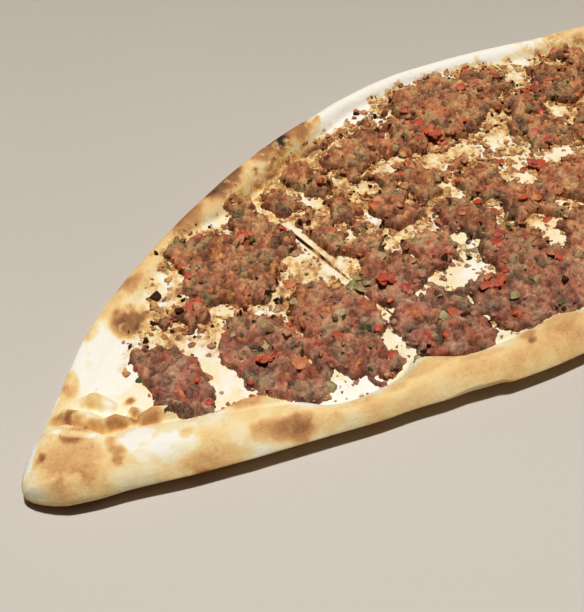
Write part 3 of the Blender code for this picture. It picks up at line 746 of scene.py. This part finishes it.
def bread_stations():
    """X places of the cross-sections, a millimetre or so apart and closer beside the knife cut."""
    angles = [math.pi / 2 * (i + 0.5) / ROUND_STATIONS for i in range(ROUND_STATIONS)]
    left = [TIP_ROUNDING * (1 - math.cos(angle)) - HALF_LENGTH for angle in angles]
    x, stations = left[-1], list(left)
    while x < HALF_LENGTH - TIP_ROUNDING - STEP_END:
        at_tip = x < TIP_REACH - HALF_LENGTH
        x += STEP_AT_CUT if abs(x - SLIT_X) < CUT_REACH else STEP_AT_TIP if at_tip else STEP
        stations.append(x)
    return stations[:-1] + [-x for x in reversed(left)]


def bread_section(x):
    """Y places over the top from -Y to +Y, and y places back along the underside."""
    near, far = -float(edge_reach(x, False)), float(edge_reach(x, True))
    near_crest = near + CREST * float(rim_width(x, False))
    far_crest = far - CREST * float(rim_width(x, True))
    if near_crest > far_crest:
        near_crest = far_crest = (near + far) / 2
    angles = np.arange(EDGE_COLUMNS) / EDGE_COLUMNS * math.pi / 2
    over = np.concatenate([near + (near_crest - near) * (1 - np.cos(angles)),
                           np.linspace(near_crest, far_crest, TOP_COLUMNS),
                           far - (far - far_crest) * (1 - np.cos(angles[::-1]))])
    return over, np.linspace(far, near, UNDER_COLUMNS + 2)[1:-1]


def tube_faces(rows, columns):
    """Four-sided faces round rows of points, and three-sided ones to a last point at each end."""
    faces = []
    first_tip, last = rows * columns, (rows - 1) * columns
    for j in range(columns):
        k = (j + 1) % columns
        for start in range(0, last, columns):
            faces.append((start + j, start + columns + j, start + columns + k, start + k))
        faces.append((first_tip, j, k))
        faces.append((first_tip + 1, last + k, last + j))
    return faces


def make_bread():
    """The visible bread: the loft from tip to tip with its folds, cut and colours."""
    stations = bread_stations()
    sections = [bread_section(x) for x in stations]
    over = len(sections[0][0])
    ys = np.array([np.concatenate(section) for section in sections])
    xs = np.repeat(np.array(stations)[:, None], ys.shape[1], 1)
    shear = smooth_step(SHEAR_START - np.abs(xs - SLIT_X) / SHEAR_REACH)
    xs = xs - (ys - SLIT_Y) * math.tan(SLIT_TURN) * shear
    zs = np.zeros(ys.shape)
    zs[:, :over] = cut_top(xs[:, :over], ys[:, :over])
    zs[:, 0] = BULGE_HEIGHT + raised(xs[:, 0], False)
    zs[:, over - 1] = BULGE_HEIGHT
    zs[:, over:] = dough_under(xs[:, over:], ys[:, over:])
    points = np.stack([xs, ys, zs], 2).reshape(-1, 3)
    points = np.vstack([points, [(-HALF_LENGTH, 0, BULGE_HEIGHT), (HALF_LENGTH, 0, BULGE_HEIGHT)]])
    x, y = points[:, 0], points[:, 1]
    under = np.zeros(ys.shape, bool)
    under[:, over:] = True
    under = np.append(under.ravel(), [False, False])
    across, half = slit_place(x, y)
    # the underside's colour is baked brown and painted shade together
    toast = np.where(under, UNDER_TOAST_AND_SHADE + rough(x, y, *UNDER_TOAST_NOISE), toast_and_shade_of(x, y))
    # painted shade: the knife cut's sides and floor are coloured near black
    toast = np.where((np.abs(across) < half + CUT_SHADE_REACH) & (half > 0) & ~under, CUT_PAINTED_SHADE, toast)
    oil = np.where(under, 0.0, oil_of(x, y, mince_cover(x, y)))
    bread = to_mesh("bread", points, tube_faces(*ys.shape), crust_material(),
                    {"toast": toast, "oil": oil})
    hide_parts("dough")


# ---- the minced meat

MEAT_NODES = sorted(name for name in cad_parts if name.startswith("meat_"))
TOPPED_X, TOPPED_Y = (-178, 206), (-84, 86)
CELL = 0.70  # spacing of the mince's mesh
BED_SPLIT = 10.0  # the mince is written as two meshes, one on each side of this x
BED_UNDER = 0.3  # how far below its lowest edges the mince is closed
MINCE_HEIGHT, MINCE_HILLS = 5.4, (0.34, 11, 306)
RAGGED = 0.34  # how far noise moves the patches' edges, as a share of their size
BREAK_UP = 1.1  # how much more ragged the roasted part is
COVER_NOISE, COVER_SWELL = (8, 320), (2.4, 323)
PATCH_SPREAD, PATCH_SLOPE, PATCH_JOIN = 1.0, 10, 0.12
GAP_DEPTH, CREVICE_GAP, RIM_GAP, RIM_GAP_RUN = 0.92, 1.6, 0.6, 4
ROAST_MIDDLE, ROAST_X, ROAST_Y, ROAST_RUN = -75, 0.30, 0.55, 70
ROAST_NOISE = (0.28, 26, 310)
CREASE_WARP = ((1.5, 4.5, 301), (1.5, 4.5, 305))
LUMPS, LUMP_SHAPE = (4.8, 303), (2.2, 0.12, 0.6)
KNOBS, KNOB_SHAPE = (1.9, 304), (1.8, 0.3, 0.7)
LUMP_RISE, LUMP_BASE, LUMP_OWN, KNOB_RISE = 0.46, 0.75, 0.45, 0.24
RELIEF_BASE, RELIEF_NOISE = 0.17, (0.42, 3.8, 309)
EDGE_COVER, SHOULDER, SHOULDER_COVER = 0.30, 0.75, 1.2  # how the mince's edges round off
CREASE_LEVEL, RELIEF_GAIN = 0.40, 0.75
CRISP_EDGE, CRISP_BASE, CRISP_EDGE_NOISE = 0.34, 0.45, (0.9, 5, 311)

# Bare gaps in the mince: x, y, half length, half width, turn in degrees
GAPS = (
    (-147, -3, 4, 9, 12), (-88, -33, 4.5, 6, -40), (-42, -27, 9, 3.5, 12), (-119, -20, 1.8, 4, 0),
    (-107, -14, 2.4, 4, 0), (-127, 22, 7, 3, -25), (-118, 10, 3, 4, 10), (-103, 14, 6, 3.5, 20),
    (-88, 24, 7, 5, 10), (-92, 12, 6, 3, 0), (-77.3, 28, 3.0, 17, 2), (-80.5, 0, 1.4, 16, 2),
    (-72, 42, 5, 4, 0), (-66, 55, 4, 3, 20), (-96, 62, 5, 4, 0), (-136, 48, 7, 8, 0),
    (-42, 51, 5, 5, 10), (-36, 36, 6, 5, 0), (-25, 41, 5, 3, 0), (-60, 44, 5, 3, 0),
    (-49, 20, 4, 6, 20), (-30, 17, 6, 2.5, 20), (-50, 6, 7, 2.5, 0), (-28, -11, 5, 3, -10),
    (-10, 16, 5, 4, 0), (-9, 7, 4, 3.5, 0), (-14, 42, 4, 3, 0), (-2, 30, 7, 4, 0), (8, 28, 7, 4, -10),
    (22, -6, 7, 4, 10), (4, -26, 4, 5, 0), (5, -36, 4, 5, 10), (50, -4, 7, 5, 0), (70, 17, 6, 5, 0),
    (34, 24, 8, 4, 10), (76, 48, 6, 5, 0), (105, 50, 5, 4, 0), (-8, 73, 7, 3, 0), (-25, 66, 5, 4, 0),
    (-44, 66, 4, 3, 0), (-73, 8, 3, 6, 0), (-64, 17, 4, 2.5, 20), (88, 12, 6, 4, 20),
    (30, -36, 6, 5, 0), (66, -30, 7, 4, 10), (100, -16, 6, 5, 0), (122, 20, 6, 4, 0),
    (110, -44, 6, 4, 0), (136, -10, 5, 4, 0), (72, -52, 5, 4, 0), (-62, -23, 2.5, 2, 0),
)


def patch_of(name):
    """A meat patch's place and half sizes, from its CAD node's box."""
    low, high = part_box(name)
    return [(low[i] + high[i]) / 2 / MM for i in range(2)] + [(high[i] - low[i]) / 2 / MM for i in range(2)]


PATCHES = [patch_of(name) for name in MEAT_NODES]


def mince_cover(x, y):
    """Above 0 where there is mince, rising towards the middle of a patch."""
    cover = np.full(np.shape(x), -1.0)
    warp = spot_warp(x, y)
    for px, py, a, b in PATCHES:
        share = np.hypot((x - px) / (a + PATCH_SPREAD), (y - py) / (b + PATCH_SPREAD))
        cover = higher(cover, (1 - share) * math.sqrt(a * b) / PATCH_SLOPE, PATCH_JOIN)
    for gap in GAPS:
        cover = cover - GAP_DEPTH * spot_share(x, y, gap, warp)
    broken = RAGGED * (1 + BREAK_UP * roast_of(x, y))
    cover = cover + rough(x, y, broken, *COVER_NOISE) + swell(x, y, 0.5 * RAGGED, *COVER_SWELL)
    for chain in CREVICES:
        cover = cover - CREVICE_GAP * crevice_share(x, y, chain)
    return cover - RIM_GAP * smooth_step(-inner_room(x, y) / RIM_GAP_RUN)


def roast_of(x, y):
    """How roasted the mince is: little near the -X and -Y side, more towards +X and +Y."""
    way = (ROAST_Y * y + ROAST_X * (x - ROAST_MIDDLE)) / ROAST_RUN
    return smooth_step(0.5 + way + rough(x, y, *ROAST_NOISE))


def mound(x, y, spacing, sharpness, offset, crown):
    """Rounded lumps with creases between them, and each lump's own number."""
    first, second, own = grains(x, y, *spacing)
    return smooth_step((second - first) * sharpness + offset) * (1 - crown * first ** 2), own


def mince_relief(x, y):
    """Relief of packed mince, 0 in the creases to 1 on the lumps, and each lump's own number."""
    wx, wy = x + rough(x, y, *CREASE_WARP[0]), y + rough(x, y, *CREASE_WARP[1])
    lump, own = mound(wx, wy, LUMPS, *LUMP_SHAPE)
    knob, _ = mound(wx, wy, KNOBS, *KNOB_SHAPE)
    relief = LUMP_RISE * lump * (LUMP_BASE + LUMP_OWN * own) + KNOB_RISE * knob + RELIEF_BASE
    return relief + rough(x, y, *RELIEF_NOISE), own


def mince_top(x, y, cover):
    """Top of the mince, or just under the bread's surface where there is none."""
    relief, own = mince_relief(x, y)
    roundness = np.sqrt(np.clip(1 - np.clip(1 - cover / EDGE_COVER, 0, 1) ** 2, 0, 1))
    fullness = roundness * (SHOULDER + (1 - SHOULDER) * smooth_step(cover / SHOULDER_COVER))
    body = MINCE_HEIGHT * fullness * (1 + swell(x, y, *MINCE_HILLS))
    level = dough_top(x, y)
    top = level + body * (CREASE_LEVEL + RELIEF_GAIN * relief)
    return np.where(cover > 0, top, level - BURIED), relief, own


def border_edges(quads):
    """Edges that only one face has, in that face's direction."""
    edges = np.vstack([quads[:, [k, (k + 1) % 4]] for k in range(4)])
    size = int(quads.max()) + 1
    ways, back = edges[:, 0] * size + edges[:, 1], edges[:, 1] * size + edges[:, 0]
    return edges[~np.isin(ways, back)]


def make_mince_beds(material):
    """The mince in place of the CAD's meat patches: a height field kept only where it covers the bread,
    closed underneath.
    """
    xs, ys = np.arange(*TOPPED_X, CELL), np.arange(*TOPPED_Y, CELL)
    x, y = np.meshgrid(xs, ys, indexing="ij")
    cover = mince_cover(x, y)
    top, relief, own = mince_top(x, y, cover)
    low = dough_top(x, y) - BURIED - BED_UNDER
    crisp = smooth_step((CRISP_EDGE - cover) / CRISP_EDGE)
    crisp = crisp * smooth_step(CRISP_BASE + rough(x, y, *CRISP_EDGE_NOISE))
    kept = np.maximum.reduce((cover[:-1, :-1], cover[1:, :-1], cover[1:, 1:], cover[:-1, 1:])) > 0
    for number, side in enumerate((xs[:-1] < BED_SPLIT, xs[:-1] >= BED_SPLIT)):
        i, j = np.nonzero(kept & side[:, None])
        corner, beyond = i * len(ys) + j, (i + 1) * len(ys) + j
        quads = np.stack([corner, beyond, beyond + 1, corner + 1], 1)
        used = np.unique(quads)
        index = np.full(x.size, -1)
        index[used] = np.arange(len(used))
        quads, count = index[quads], len(used)
        rim = border_edges(quads)
        points = np.vstack([np.stack([x.ravel()[used], y.ravel()[used], level.ravel()[used]], 1)
                            for level in (top, low)])
        walls = np.stack([rim[:, 1], rim[:, 0], rim[:, 0] + count, rim[:, 1] + count], 1)
        faces = np.vstack([quads, quads[:, ::-1] + count, walls]).tolist()
        values = {key: np.tile(level.ravel()[used], 2)
                  for key, level in (("tone", own), ("relief", relief), ("crisp", crisp))}
        values["roast"] = roast_of(points[:, 0], points[:, 1])
        bed = to_mesh(f"mince_bed_{number + 1}", points, faces, material, values)
        nodes = [name for name, patch in zip(MEAT_NODES, PATCHES) if (patch[0] >= BED_SPLIT) == bool(number)]
        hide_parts(*nodes)


# ---- small things

WAVE_SCALES = (1.4, 1.8, 2.4, 3.2, 4.4)  # waves that make a pebble lumpy
WAVE_FALL, WAVE_SHARE = 0.35, 2.2
CUT_DEPTHS, CUT_FLATNESS = (0.35, 0.75), 0.9
PEBBLE_KINDS = 14  # different shapes in one mesh
BIT_RELIEF = 0.75  # what the mince's material reads as relief on a loose bit, which sets its painted shade and highlight
TRIES = 3  # random places drawn for each one wanted
CRUMB_SEED, CRUMB_TRIES, CRUMB_ROOM, CRUMB_MESHES = 21, 26000, -0.8, 3
CRUMB_SIZES = (3.2, 0.26, 0.35, 2.1)  # of a gamma distribution, then its least and most
CRUMB_CUT_MIDDLE, CRUMB_CUT_ROOM = 1.0, 3.0  # crumbs keep off the knife cut
# Chances of a crumb: on the mince and at its edge, beside it where pale and roasted, anywhere, by the -X tip
CRUMBS_ON, CRUMBS_EDGE, CRUMBS_EDGE_COVER = 0.03, 0.22, 0.35
CRUMBS_BESIDE, CRUMBS_ROASTED, CRUMBS_STRAY = 0.08, 0.62, 0.006
CRUMBS_TIP, CRUMBS_TIP_X, CRUMBS_TIP_RUN = 0.3, -168, 24
CRISP_CRUMBS, CRISP_ROASTED, CRUMB_CRISP = 0.10, 0.25, (0.3, 1.0)
CRUMB_STRETCH, CRUMB_FLAT, CRUMB_SINK = (0.7, 1.35), 0.5, 0.1
CRUMB_SHAPE, CRUMB_TILT = (2, 1.0, 0.3, 5), 0.6  # subdivisions, boxy, lump, cuts
BITS_X, RIM_SHARE, NEAR_COVER = (-176, 200), 0.92, 1.1
BIT_ROOM, BIT_TRIES, BIT_CUT_ROOM, BIT_CUTS = 0.8, 8, 2.5, 6
BIT_EDGE_COVER, BIT_EDGE_RUN, BIT_STRETCH, BIT_TONES = 0.30, 0.25, (0.75, 1.2), 0.5


def pebble(rng, subdivisions, boxy, lump, cuts):
    """One lumpy closed shape about 2 across, with flat cuts: a rounded block if boxy is under 1."""
    mesh = bmesh.new()
    bmesh.ops.create_icosphere(mesh, subdivisions=subdivisions, radius=1.0)
    shape = np.array([vert.co[:] for vert in mesh.verts])
    faces = np.array([[vert.index for vert in face.verts] for face in mesh.faces])
    mesh.free()
    shape = np.sign(shape) * np.abs(shape) ** boxy
    waves = rng.normal(size=(len(WAVE_SCALES), 3)) * np.array(WAVE_SCALES)[:, None]
    shifts = rng.uniform(0, 2 * math.pi, len(WAVE_SCALES))
    bulge = sum(np.sin(shape @ wave + shift) / (1 + WAVE_FALL * number)
                for number, (wave, shift) in enumerate(zip(waves, shifts)))
    shape = shape * (1 + lump * bulge[:, None] / WAVE_SHARE)
    for _ in range(cuts):
        way = rng.normal(size=3)
        way /= np.linalg.norm(way)
        over = np.clip(shape @ way - rng.uniform(*CUT_DEPTHS), 0, None)
        shape = shape - CUT_FLATNESS * over[:, None] * way
    return shape, faces


def turned(rng, count, tilt):
    """Random turns about Z, then a lean of up to tilt radians, as rotation matrices."""
    yaws, ways = rng.uniform(0, 2 * math.pi, (2, count))
    leans = rng.uniform(-tilt, tilt, count)
    return [np.array(Matrix.Rotation(lean, 3, (math.cos(way), math.sin(way), 0))
                     @ Matrix.Rotation(yaw, 3, "Z")) for lean, way, yaw in zip(leans, ways, yaws)]


def scatter(name, material, spots, sizes, tones, rng, shape, tilt, crisp=None):
    """Many small things of one kind in one mesh: spots and sizes are one row of three for each thing."""
    pebbles = [pebble(rng, *shape) for _ in range(PEBBLE_KINDS)]
    turns = turned(rng, len(spots), tilt)
    points, faces = [], []
    for i, (spot, size) in enumerate(zip(spots, sizes)):
        ball, ball_faces = pebbles[i % PEBBLE_KINDS]
        points.append((ball * size) @ turns[i].T + spot)
        faces.append(ball_faces + i * len(ball))
    each = len(points[0])
    points = np.vstack(points)
    values = {"tone": np.repeat(tones, each), "roast": roast_of(points[:, 0], points[:, 1]),
              "crisp": np.zeros(len(points)) if crisp is None else np.repeat(crisp, each),
              "relief": np.full(len(points), BIT_RELIEF)}
    return to_mesh(name, points, np.vstack(faces).tolist(), material, values)


def topping_level(x, y):
    """Top of whatever lies at each place, bread or mince, and the mince's cover there."""
    cover = mince_cover(x, y)
    top, _, _ = mince_top(x, y, cover)
    return np.where(cover > 0, top, dough_top(x, y)), cover


def inner_room(x, y):
    """How far a place lies inside the rims, in millimetres; negative on a rim."""
    return np.minimum(inset(x, y, False) - RIM_SHARE * rim_width(x, False),
                      inset(x, y, True) - RIM_SHARE * rim_width(x, True))


def places(rng, count, room):
    """Random places on the bread's floor, at least this far inside the rims."""
    x, y = rng.uniform(*BITS_X, count * TRIES), rng.uniform(*TOPPED_Y, count * TRIES)
    keep = inner_room(x, y) > room
    return x[keep][:count], y[keep][:count]


def near_mince(cover):
    """1 at the edge of the mince, falling off over the bare bread beside it."""
    return smooth_step((cover + NEAR_COVER) / NEAR_COVER) * (cover <= 0)


def make_crumbs(material):
    """Crumbs of mince: many along the patches' edges, some on them and some between them."""
    rng = np.random.default_rng(CRUMB_SEED)
    x, y = places(rng, CRUMB_TRIES, CRUMB_ROOM)
    level, cover = topping_level(x, y)
    roast = roast_of(x, y)
    off_mince = near_mince(cover) * (CRUMBS_BESIDE + CRUMBS_ROASTED * roast) + CRUMBS_STRAY
    on_mince = CRUMBS_ON + CRUMBS_EDGE * smooth_step(1 - cover / CRUMBS_EDGE_COVER)
    chance = np.where(cover > 0, on_mince, off_mince)
    chance = chance * (CRUMBS_TIP + (1 - CRUMBS_TIP) * smooth_step((x - CRUMBS_TIP_X) / CRUMBS_TIP_RUN))
    across, _ = slit_place(x, y)
    keep = (rng.random(len(x)) < chance) & (np.abs(across - CRUMB_CUT_MIDDLE) > CRUMB_CUT_ROOM)
    x, y, level, roast = x[keep], y[keep], level[keep], roast[keep]
    shape, scale, least, most = CRUMB_SIZES
    radius = rng.gamma(shape, scale, len(x)).clip(least, most)
    sizes = radius[:, None] * rng.uniform(*CRUMB_STRETCH, (len(x), 3))
    sizes[:, 2] *= CRUMB_FLAT
    spots = np.stack([x, y, level - CRUMB_SINK * radius], 1)
    tones = rng.normal(0, BIT_TONES, len(x)).clip(-1, 1)
    crisp = (rng.random(len(x)) < CRISP_CRUMBS + CRISP_ROASTED * roast) * rng.uniform(*CRUMB_CRISP, len(x))
    for number, part in enumerate(np.array_split(np.argsort(x), CRUMB_MESHES)):
        scatter(f"mince_crumbs_{number + 1}", material, spots[part], sizes[part], tones[part],
                rng, CRUMB_SHAPE, CRUMB_TILT, crisp[part])


# ---- the chopped vegetables

RED_STOPS = (
    (0.10, (0.26, 0.035, 0.018)), (0.30, (0.42, 0.045, 0.022)), (0.50, (0.54, 0.055, 0.025)),
    (0.70, (0.60, 0.10, 0.03)), (0.90, (0.66, 0.22, 0.04)))
TOMATO_STOPS = (
    (0.10, (0.30, 0.045, 0.02)), (0.35, (0.48, 0.06, 0.026)), (0.60, (0.58, 0.10, 0.034)),
    (0.90, (0.60, 0.19, 0.06)))
PALE_GREEN_STOPS = (
    (0.10, (0.20, 0.16, 0.055)), (0.35, (0.33, 0.27, 0.10)), (0.60, (0.42, 0.34, 0.15)),
    (0.90, (0.52, 0.40, 0.22)))
HERB_STOPS = (
    (0.10, (0.026, 0.036, 0.010)), (0.40, (0.055, 0.080, 0.020)), (0.70, (0.09, 0.12, 0.035)),
    (0.95, (0.16, 0.16, 0.06)))
FLAKE_STOPS = (
    (0.10, (0.20, 0.07, 0.02)), (0.35, (0.46, 0.19, 0.05)), (0.60, (0.66, 0.34, 0.09)),
    (0.90, (0.80, 0.55, 0.24)))
CHAR_STOPS = (
    (0.10, (0.012, 0.007, 0.004)), (0.45, (0.035, 0.016, 0.008)), (0.80, (0.09, 0.035, 0.014)),
    (0.95, (0.18, 0.07, 0.025)))

SINK = 3.0  # how far the large pieces settle into the mince
CHUNKS = 6  # torn chunks in one large piece
CHUNK_SPREAD, CHUNK_STRETCH = (1.0, 1.0, 0.5), (1.0, 1.0, 1.2)
CHUNK_AWAY, CHUNK_SIZES, CHUNK_TONES = 0.6, (0.32, 0.58), 0.35
CHUNK_SHAPE, CHUNK_TILT = (3, 0.85, 0.34, 6), 0.5


def make_large_pieces(kind, material, seed):
    """For each CAD node of a kind, a few torn chunks in its place, sunk in the topping."""
    rng = np.random.default_rng(seed)
    for name in sorted(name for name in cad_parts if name.startswith(kind)):
        low, high = np.array([list(corner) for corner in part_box(name)]) / MM
        middle, half = (low + high) / 2, (high - low) / 2
        middle[2] -= SINK
        away = rng.uniform(-CHUNK_AWAY, CHUNK_AWAY, (CHUNKS, 3)) * half * np.array(CHUNK_SPREAD)
        sizes = half * rng.uniform(*CHUNK_SIZES, (CHUNKS, 3)) * np.array(CHUNK_STRETCH)
        tones = rng.normal(0, CHUNK_TONES, CHUNKS)
        piece = scatter("torn_" + name, material, middle + away, sizes, tones, rng,
                        CHUNK_SHAPE, CHUNK_TILT)
        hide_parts(name)


def chosen_places(rng, count, on_mince, at_edge, beside_it, where_pale):
    """Random places, and their level, kept by the chances of finding a bit there."""
    x, y = places(rng, count * BIT_TRIES, BIT_ROOM)
    level, cover = topping_level(x, y)
    on_mince = on_mince + at_edge * smooth_step((BIT_EDGE_COVER - cover) / BIT_EDGE_RUN)
    chance = np.where(cover > 0, on_mince, beside_it * near_mince(cover))
    chance = chance * (where_pale + (1 - where_pale) * roast_of(x, y))
    across, _ = slit_place(x, y)
    keep = (rng.random(len(x)) < chance) & (np.abs(across) > BIT_CUT_ROOM)
    return x[keep][:count], y[keep][:count], level[keep][:count]


def make_bits(name, material, seed, count, chances, small, large, by_hand=(), flat=0.5, long=1.0,
              sink=0.7, tilt=0.5, boxy=0.75, lump=0.2, subdivisions=3):
    """Chopped bits of one kind, small to large millimetres across, some of them at given places."""
    rng = np.random.default_rng(seed)
    x, y, level = chosen_places(rng, count, *chances)
    hand = np.array(by_hand, float).reshape(-1, 3)
    x, y = np.append(x, hand[:, 0]), np.append(y, hand[:, 1])
    level = np.append(level, topping_level(hand[:, 0], hand[:, 1])[0])
    half = rng.uniform(small, large, len(x)) / 2
    half[len(x) - len(hand):] = hand[:, 2] / 2
    sizes = half[:, None] * rng.uniform(*BIT_STRETCH, (len(x), 3)) * np.array([long, 1.0, flat])
    spots = np.stack([x, y, level + sizes[:, 2] * (1 - 2 * sink)], 1)
    tones = rng.normal(0, BIT_TONES, len(x)).clip(-1, 1)
    scatter(name, material, spots, sizes, tones, rng, (subdivisions, boxy, lump, BIT_CUTS), tilt)


# Chances of a bit: on the mince, at the mince's edge, on the bread beside it, share left where it is pale
ON_TOPPING, MORE_ROASTED = (0.9, 0.0, 0.15, 1.0), (0.9, 0.0, 0.15, 0.35)
AT_EDGES, IN_ROASTED_GAPS = (0.0, 1.0, 0.6, 0.25), (0.0, 0.0, 1.0, 0.08)
# Bits at listed places: x, y, millimetres across
RED_BY_HAND = ((-126, 32, 5), (-160, -13, 4), (-77, -42, 5), (-72, -47, 4), (-67, 8, 5), (-20, -26, 5),
               (25, 51, 6), (100, 47, 4))
GREEN_BY_HAND = ((-105, -5, 7), (-120, -32, 7), (-96, -12, 5))
HERBS_BY_HAND = ((-92, -23, 3.4), (-98, -33, 3), (-96, -14, 2.6), (-172, 14, 2.6))
CHAR_BY_HAND = ((-144, 44, 4.5), (-131, 62, 3), (-160, 28, 3), (-166, 30, 2.4), (-149, 26, 2.6),
                (-142, 31, 3), (-110, 15, 3), (-108, 12, 3), (-107, 10, 2.4), (-43, -17, 3), (-32, -22, 3),
                (-15, -57, 3.4), (-84, -46, 3), (-80, -45, 2.4), (-60, -44, 3), (-56, -43, 2.4))


def make_topping():
    """Every piece of the topping."""
    mince = mince_material()
    make_mince_beds(mince)
    make_crumbs(mince)
    red = vegetable_material("red_pepper", RED_STOPS, 0.46, (0.28, 0.10, 0.045), 0.6)
    tomato = vegetable_material("tomato", TOMATO_STOPS, 0.44, (0.30, 0.12, 0.05), 0.6)
    green = vegetable_material("green_pepper", PALE_GREEN_STOPS, 0.46, (0.13, 0.09, 0.03))
    herb = vegetable_material("herb", HERB_STOPS, 0.7, (0.02, 0.02, 0.01), shine=0.15)
    char = vegetable_material("charred_bits", CHAR_STOPS, 0.8, (0.02, 0.012, 0.008), shine=0.08)
    flake = vegetable_material("crisp_flakes", FLAKE_STOPS, 0.6, (0.10, 0.035, 0.012), 0.6)
    make_large_pieces("tomato_", tomato, 31)
    make_large_pieces("red_pepper_", red, 32)
    make_large_pieces("green_pepper_", green, 33)
    make_bits("red_dice", red, 41, 100, MORE_ROASTED, 2.2, 5.2, RED_BY_HAND)
    make_bits("pale_dice", green, 42, 36, ON_TOPPING, 2.4, 5.6, GREEN_BY_HAND, flat=0.45)
    make_bits("tomato_bits", tomato, 43, 70, MORE_ROASTED, 2.4, 6.0, flat=0.45, boxy=0.8)
    make_bits("herb_flecks", herb, 44, 80, ON_TOPPING, 1.0, 2.8, HERBS_BY_HAND, flat=0.3,
              long=1.5, sink=0.1, boxy=0.9, lump=0.3)
    make_bits("crisp_flakes", flake, 46, 900, IN_ROASTED_GAPS, 1.0, 3.6, flat=0.35, long=1.3,
              sink=0.35, boxy=1.0, lump=0.34, subdivisions=2)
    make_bits("charred_bits", char, 45, 300, AT_EDGES, 0.8, 2.6, CHAR_BY_HAND, long=1.4,
              sink=0.1, tilt=1.2, boxy=0.9, lump=0.32, subdivisions=2)


# ---- floor, light and camera, in metres

FLOOR_SIZE = 6.0
FLOOR_NEAR, FLOOR_FAR_SHADED = (0.582, 0.530, 0.468), (0.365, 0.325, 0.267)
FLOOR_SHADING = (-0.14, 0.36)  # painted shade: the floor's colour darkens away from the near side over this stretch, as if the light fell off
FLOOR_CLOUDS, FLOOR_GRAIN = ((6, 2, 0.5), 0.10, -0.05), ((480, 4, 0.7), 0.12, -0.06)
FLOOR_MATT = 0.75
SKY_COLOUR = (1.0, 0.96, 0.91)
HORIZON, OVERHEAD = 0.32, 0.006  # brightness of the surroundings, low down and higher up
SKY_RISE = (0.02, 0.24)  # sine of the elevation over which it fades
LIGHT_TARGET, LIGHT_COLOUR = (-0.06, 0.01, 0), (1.0, 0.985, 0.96)
# Lamps: name, place, size, watts
LAMPS = (("key", (0.12, 0.15, 2.8), 0.18, 81.0), ("soft_top", (-0.15, -0.10, 3.0), 2.0, 4.8))
CAMERA_PLACE = (-0.26926, -0.18996, 0.310)
CAMERA_YAW, CAMERA_PITCH = math.radians(40), math.radians(50)
LENS, SENSOR = 58.8, 36.0


def make_floor():
    """A plain pale table top, its colour darkened away from the near side as painted shade."""
    mesh = bpy.data.meshes.new("floor")
    far = FLOOR_SIZE / 2
    mesh.from_pydata([(-far, -far, 0), (far, -far, 0), (far, far, 0), (-far, far, 0)], [], [(0, 1, 2, 3)])
    floor = bpy.data.objects.new("floor", mesh)
    bpy.context.scene.collection.objects.link(floor)
    nodes, finish = new_material("pale_floor")
    back = Vector((math.sin(CAMERA_YAW), math.cos(CAMERA_YAW), 0))
    distance = nodes.add("ShaderNodeVectorMath", {0: nodes.place, 1: back}, operation="DOT_PRODUCT")["Value"]
    for noise, times, offset in (FLOOR_CLOUDS, FLOOR_GRAIN):
        distance = nodes.sum(distance, nodes.noise(*noise), times, offset)
    # painted shade: from the near colour to the darker far colour along the view
    colour = nodes.blend(nodes.stretch(distance, *FLOOR_SHADING), FLOOR_NEAR, FLOOR_FAR_SHADED)
    floor.data.materials.append(finish(colour, FLOOR_MATT))


def stand(name, data, place, way):
    """An object for a lamp or camera, at a place and looking along a direction."""
    thing = bpy.data.objects.new(name, data)
    thing.location = place
    thing.rotation_euler = way.to_track_quat("-Z", "Y").to_euler()
    bpy.context.scene.collection.objects.link(thing)
    return thing


def make_studio():
    """Surroundings bright only near the horizon, a key light almost overhead, and a soft fill."""
    world = bpy.data.worlds.new("pale_studio")
    world.use_nodes = True
    nodes = Nodes(world.node_tree, "Generated")
    background = world.node_tree.nodes["Background"]
    height = nodes.add("ShaderNodeSeparateXYZ", {0: nodes.place})["Z"]
    nodes.put(SKY_COLOUR, background.inputs["Color"])
    nodes.put(nodes.stretch(height, *SKY_RISE, HORIZON, OVERHEAD), background.inputs["Strength"])
    bpy.context.scene.world = world
    for name, place, size, watts in LAMPS:
        lamp = bpy.data.lights.new(name, "AREA")
        lamp.size, lamp.energy, lamp.color = size, watts, LIGHT_COLOUR
        stand(name, lamp, place, Vector(LIGHT_TARGET) - Vector(place))
    bpy.context.scene.view_settings.view_transform = "Standard"


def make_camera():
    """The camera, looking down from beyond the -X tip on the near side."""
    camera = bpy.data.cameras.new("camera")
    camera.lens, camera.sensor_width = LENS, SENSOR
    flat = math.cos(CAMERA_PITCH)
    way = Vector((math.sin(CAMERA_YAW) * flat, math.cos(CAMERA_YAW) * flat, -math.sin(CAMERA_PITCH)))
    bpy.context.scene.camera = stand("camera", camera, CAMERA_PLACE, way)


make_bread()
make_topping()
make_floor()
make_studio()
make_camera()
